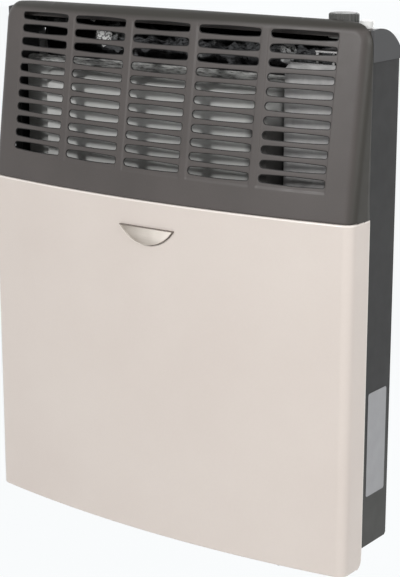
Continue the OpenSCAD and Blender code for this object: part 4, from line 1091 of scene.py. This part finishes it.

# the rim is painted brown along the top and towards the right as painted shade, and pale at the
# lower left as painted highlight
badge_rim, place = new_finish("badge_rim_painted_shade", Metallic=0.4, Specular_IOR_Level=0.3)
painted_rim_shade = spread(measured(place, "X"), -12 * MM, 10 * MM)
top_edge = spread(measured(place, "Z"), badge_high.z - 2.0 * MM, badge_high.z - 1.2 * MM)
cloud = noise(place, 240, 3)
feed(badge_rim,
     Base_Color=tinted(either(painted_rim_shade, top_edge) - cloud * 0.25,
                       paint(226, 219, 210), paint(84, 72, 63)),
     Roughness=uneven(cloud, 0.34, 0.5))
badge = add_piece("badge_plate", points, faces, badge_metal, "badge")
badge.data.materials.append(badge_rim)
badge.data.polygons.foreach_set("material_index",
                                [int(k < RIM_RINGS * loop) for k in range(len(faces))])
smoothed(badge, 0)


# ---- Data plate ----
# A blank plate of thin pale metal with a fine drawn grain. It is stamped out with rounded corners
# and glued to the right side panel.
plate_metal, place = new_finish("data_plate_metal", Metallic=0.3)
grain = noise(scaled(place, (60, 3600, 60)), 1.0, 2)
feed(plate_metal,
     Base_Color=tinted(noise(place, 50, 3), paint(150, 150, 152), paint(164, 164, 166)),
     Roughness=uneven(grain, 0.42, 0.55),
     Normal=bump(grain, 0.01 * MM))
dress(plate_metal, "data_plate", edge=0.1 * MM)


# ---- Floor ----
# A plain pale studio floor well below the heater, which hangs as it would on its wall. It is as
# bright as the background where it is seen, but for a little of its own shade.
floor_size = 12.0
floor_z = cover_foot - 0.75
floor_mesh = bpy.data.meshes.new("floor")
floor_mesh.from_pydata([(x * floor_size, y * floor_size, floor_z)
                        for x, y in ((-1, -1), (1, -1), (1, 1), (-1, 1))], [], [(0, 1, 2, 3)])
floor = bpy.data.objects.new("floor", floor_mesh)
bpy.context.scene.collection.objects.link(floor)
backdrop_white = paint(251, 253, 254)


def seen_rays(wire):
    """1 for the rays that see a surface: from the camera, through glass or off a glossy face."""
    rays = wire.node("LightPath", out="Is Camera Ray") + wire.node("LightPath", out="Is Glossy Ray")
    rays = rays + wire.node("LightPath", out="Is Transmission Ray")
    return rays.math("MINIMUM", rays, 1.0)


floor_white = new_finish("floor_white", Base_Color=paint(240, 241, 242), Roughness=0.9)[0]
nodes = floor_white.node_tree.nodes
matt = Wire(floor_white.node_tree, nodes["Principled BSDF"].outputs[0])
glow = matt.node("Emission", values={"Color": backdrop_white, "Strength": 1.0})
shown = matt.node("MixShader", values={0: seen_rays(matt) * 0.95, 1: matt, 2: glow})
floor_white.node_tree.links.new(shown.socket, nodes["Material Output"].inputs["Surface"])
floor_mesh.materials.append(floor_white)


# ---- Light and background ----
# The strongest lamp stands almost in front, a little to the left and above. A wider, weaker one
# lights the right side, another the back, and the white surroundings fill in the rest.
lit_y, lit_z = -80 * MM, 100 * MM


def lamp(name, watts, size, azimuth, elevation, distance):
    """A round soft lamp, turned in from an angle off the front, towards the right."""
    light = bpy.data.lights.new(name, "AREA")
    light.shape = "DISK"
    light.size = size
    light.energy = watts
    stand = bpy.data.objects.new(name, light)
    bpy.context.scene.collection.objects.link(stand)
    a, e = math.radians(azimuth), math.radians(elevation)
    stand.location = (distance * math.cos(e) * math.sin(a),
                      lit_y - distance * math.cos(e) * math.cos(a),
                      lit_z + distance * math.sin(e))
    stand.rotation_euler = (math.pi / 2 - e, 0, a)


lamp("front_lamp", watts=80, size=0.6, azimuth=-9, elevation=23, distance=3.6)
lamp("side_lamp", watts=38, size=1.6, azimuth=80, elevation=20, distance=2.6)
lamp("rear_lamp", watts=45, size=2.0, azimuth=190, elevation=12, distance=3.2)
world = bpy.data.worlds.new("surroundings")
bpy.context.scene.world = world
world.use_nodes = True
nodes = world.node_tree.nodes
dim = Wire(world.node_tree, nodes["Background"].outputs[0])
nodes["Background"].inputs["Color"].default_value = (1.0, 1.0, 1.0, 1.0)
nodes["Background"].inputs["Strength"].default_value = 0.2
white = dim.node("Background", values={"Color": backdrop_white, "Strength": 1.0})
seen = dim.node("MixShader", values={0: seen_rays(dim), 1: dim, 2: white})
world.node_tree.links.new(seen.socket, nodes["World Output"].inputs["Surface"])


# ---- Camera ----
# It stands where the photograph was taken from: to the right of the front and a little above the
# heater, looking down at it.
camera_data = bpy.data.cameras.new("camera")
camera_data.lens = 103.16
camera = bpy.data.objects.new("camera", camera_data)
camera.location = (1.16994, -1.61759, 0.48917)
look_down, look_left = 0.25253, 0.63166
camera.rotation_euler = (math.pi / 2 - look_down, 0, look_left)
bpy.context.scene.collection.objects.link(camera)
bpy.context.scene.camera = camera
bpy.context.scene.view_settings.view_transform = "Standard"
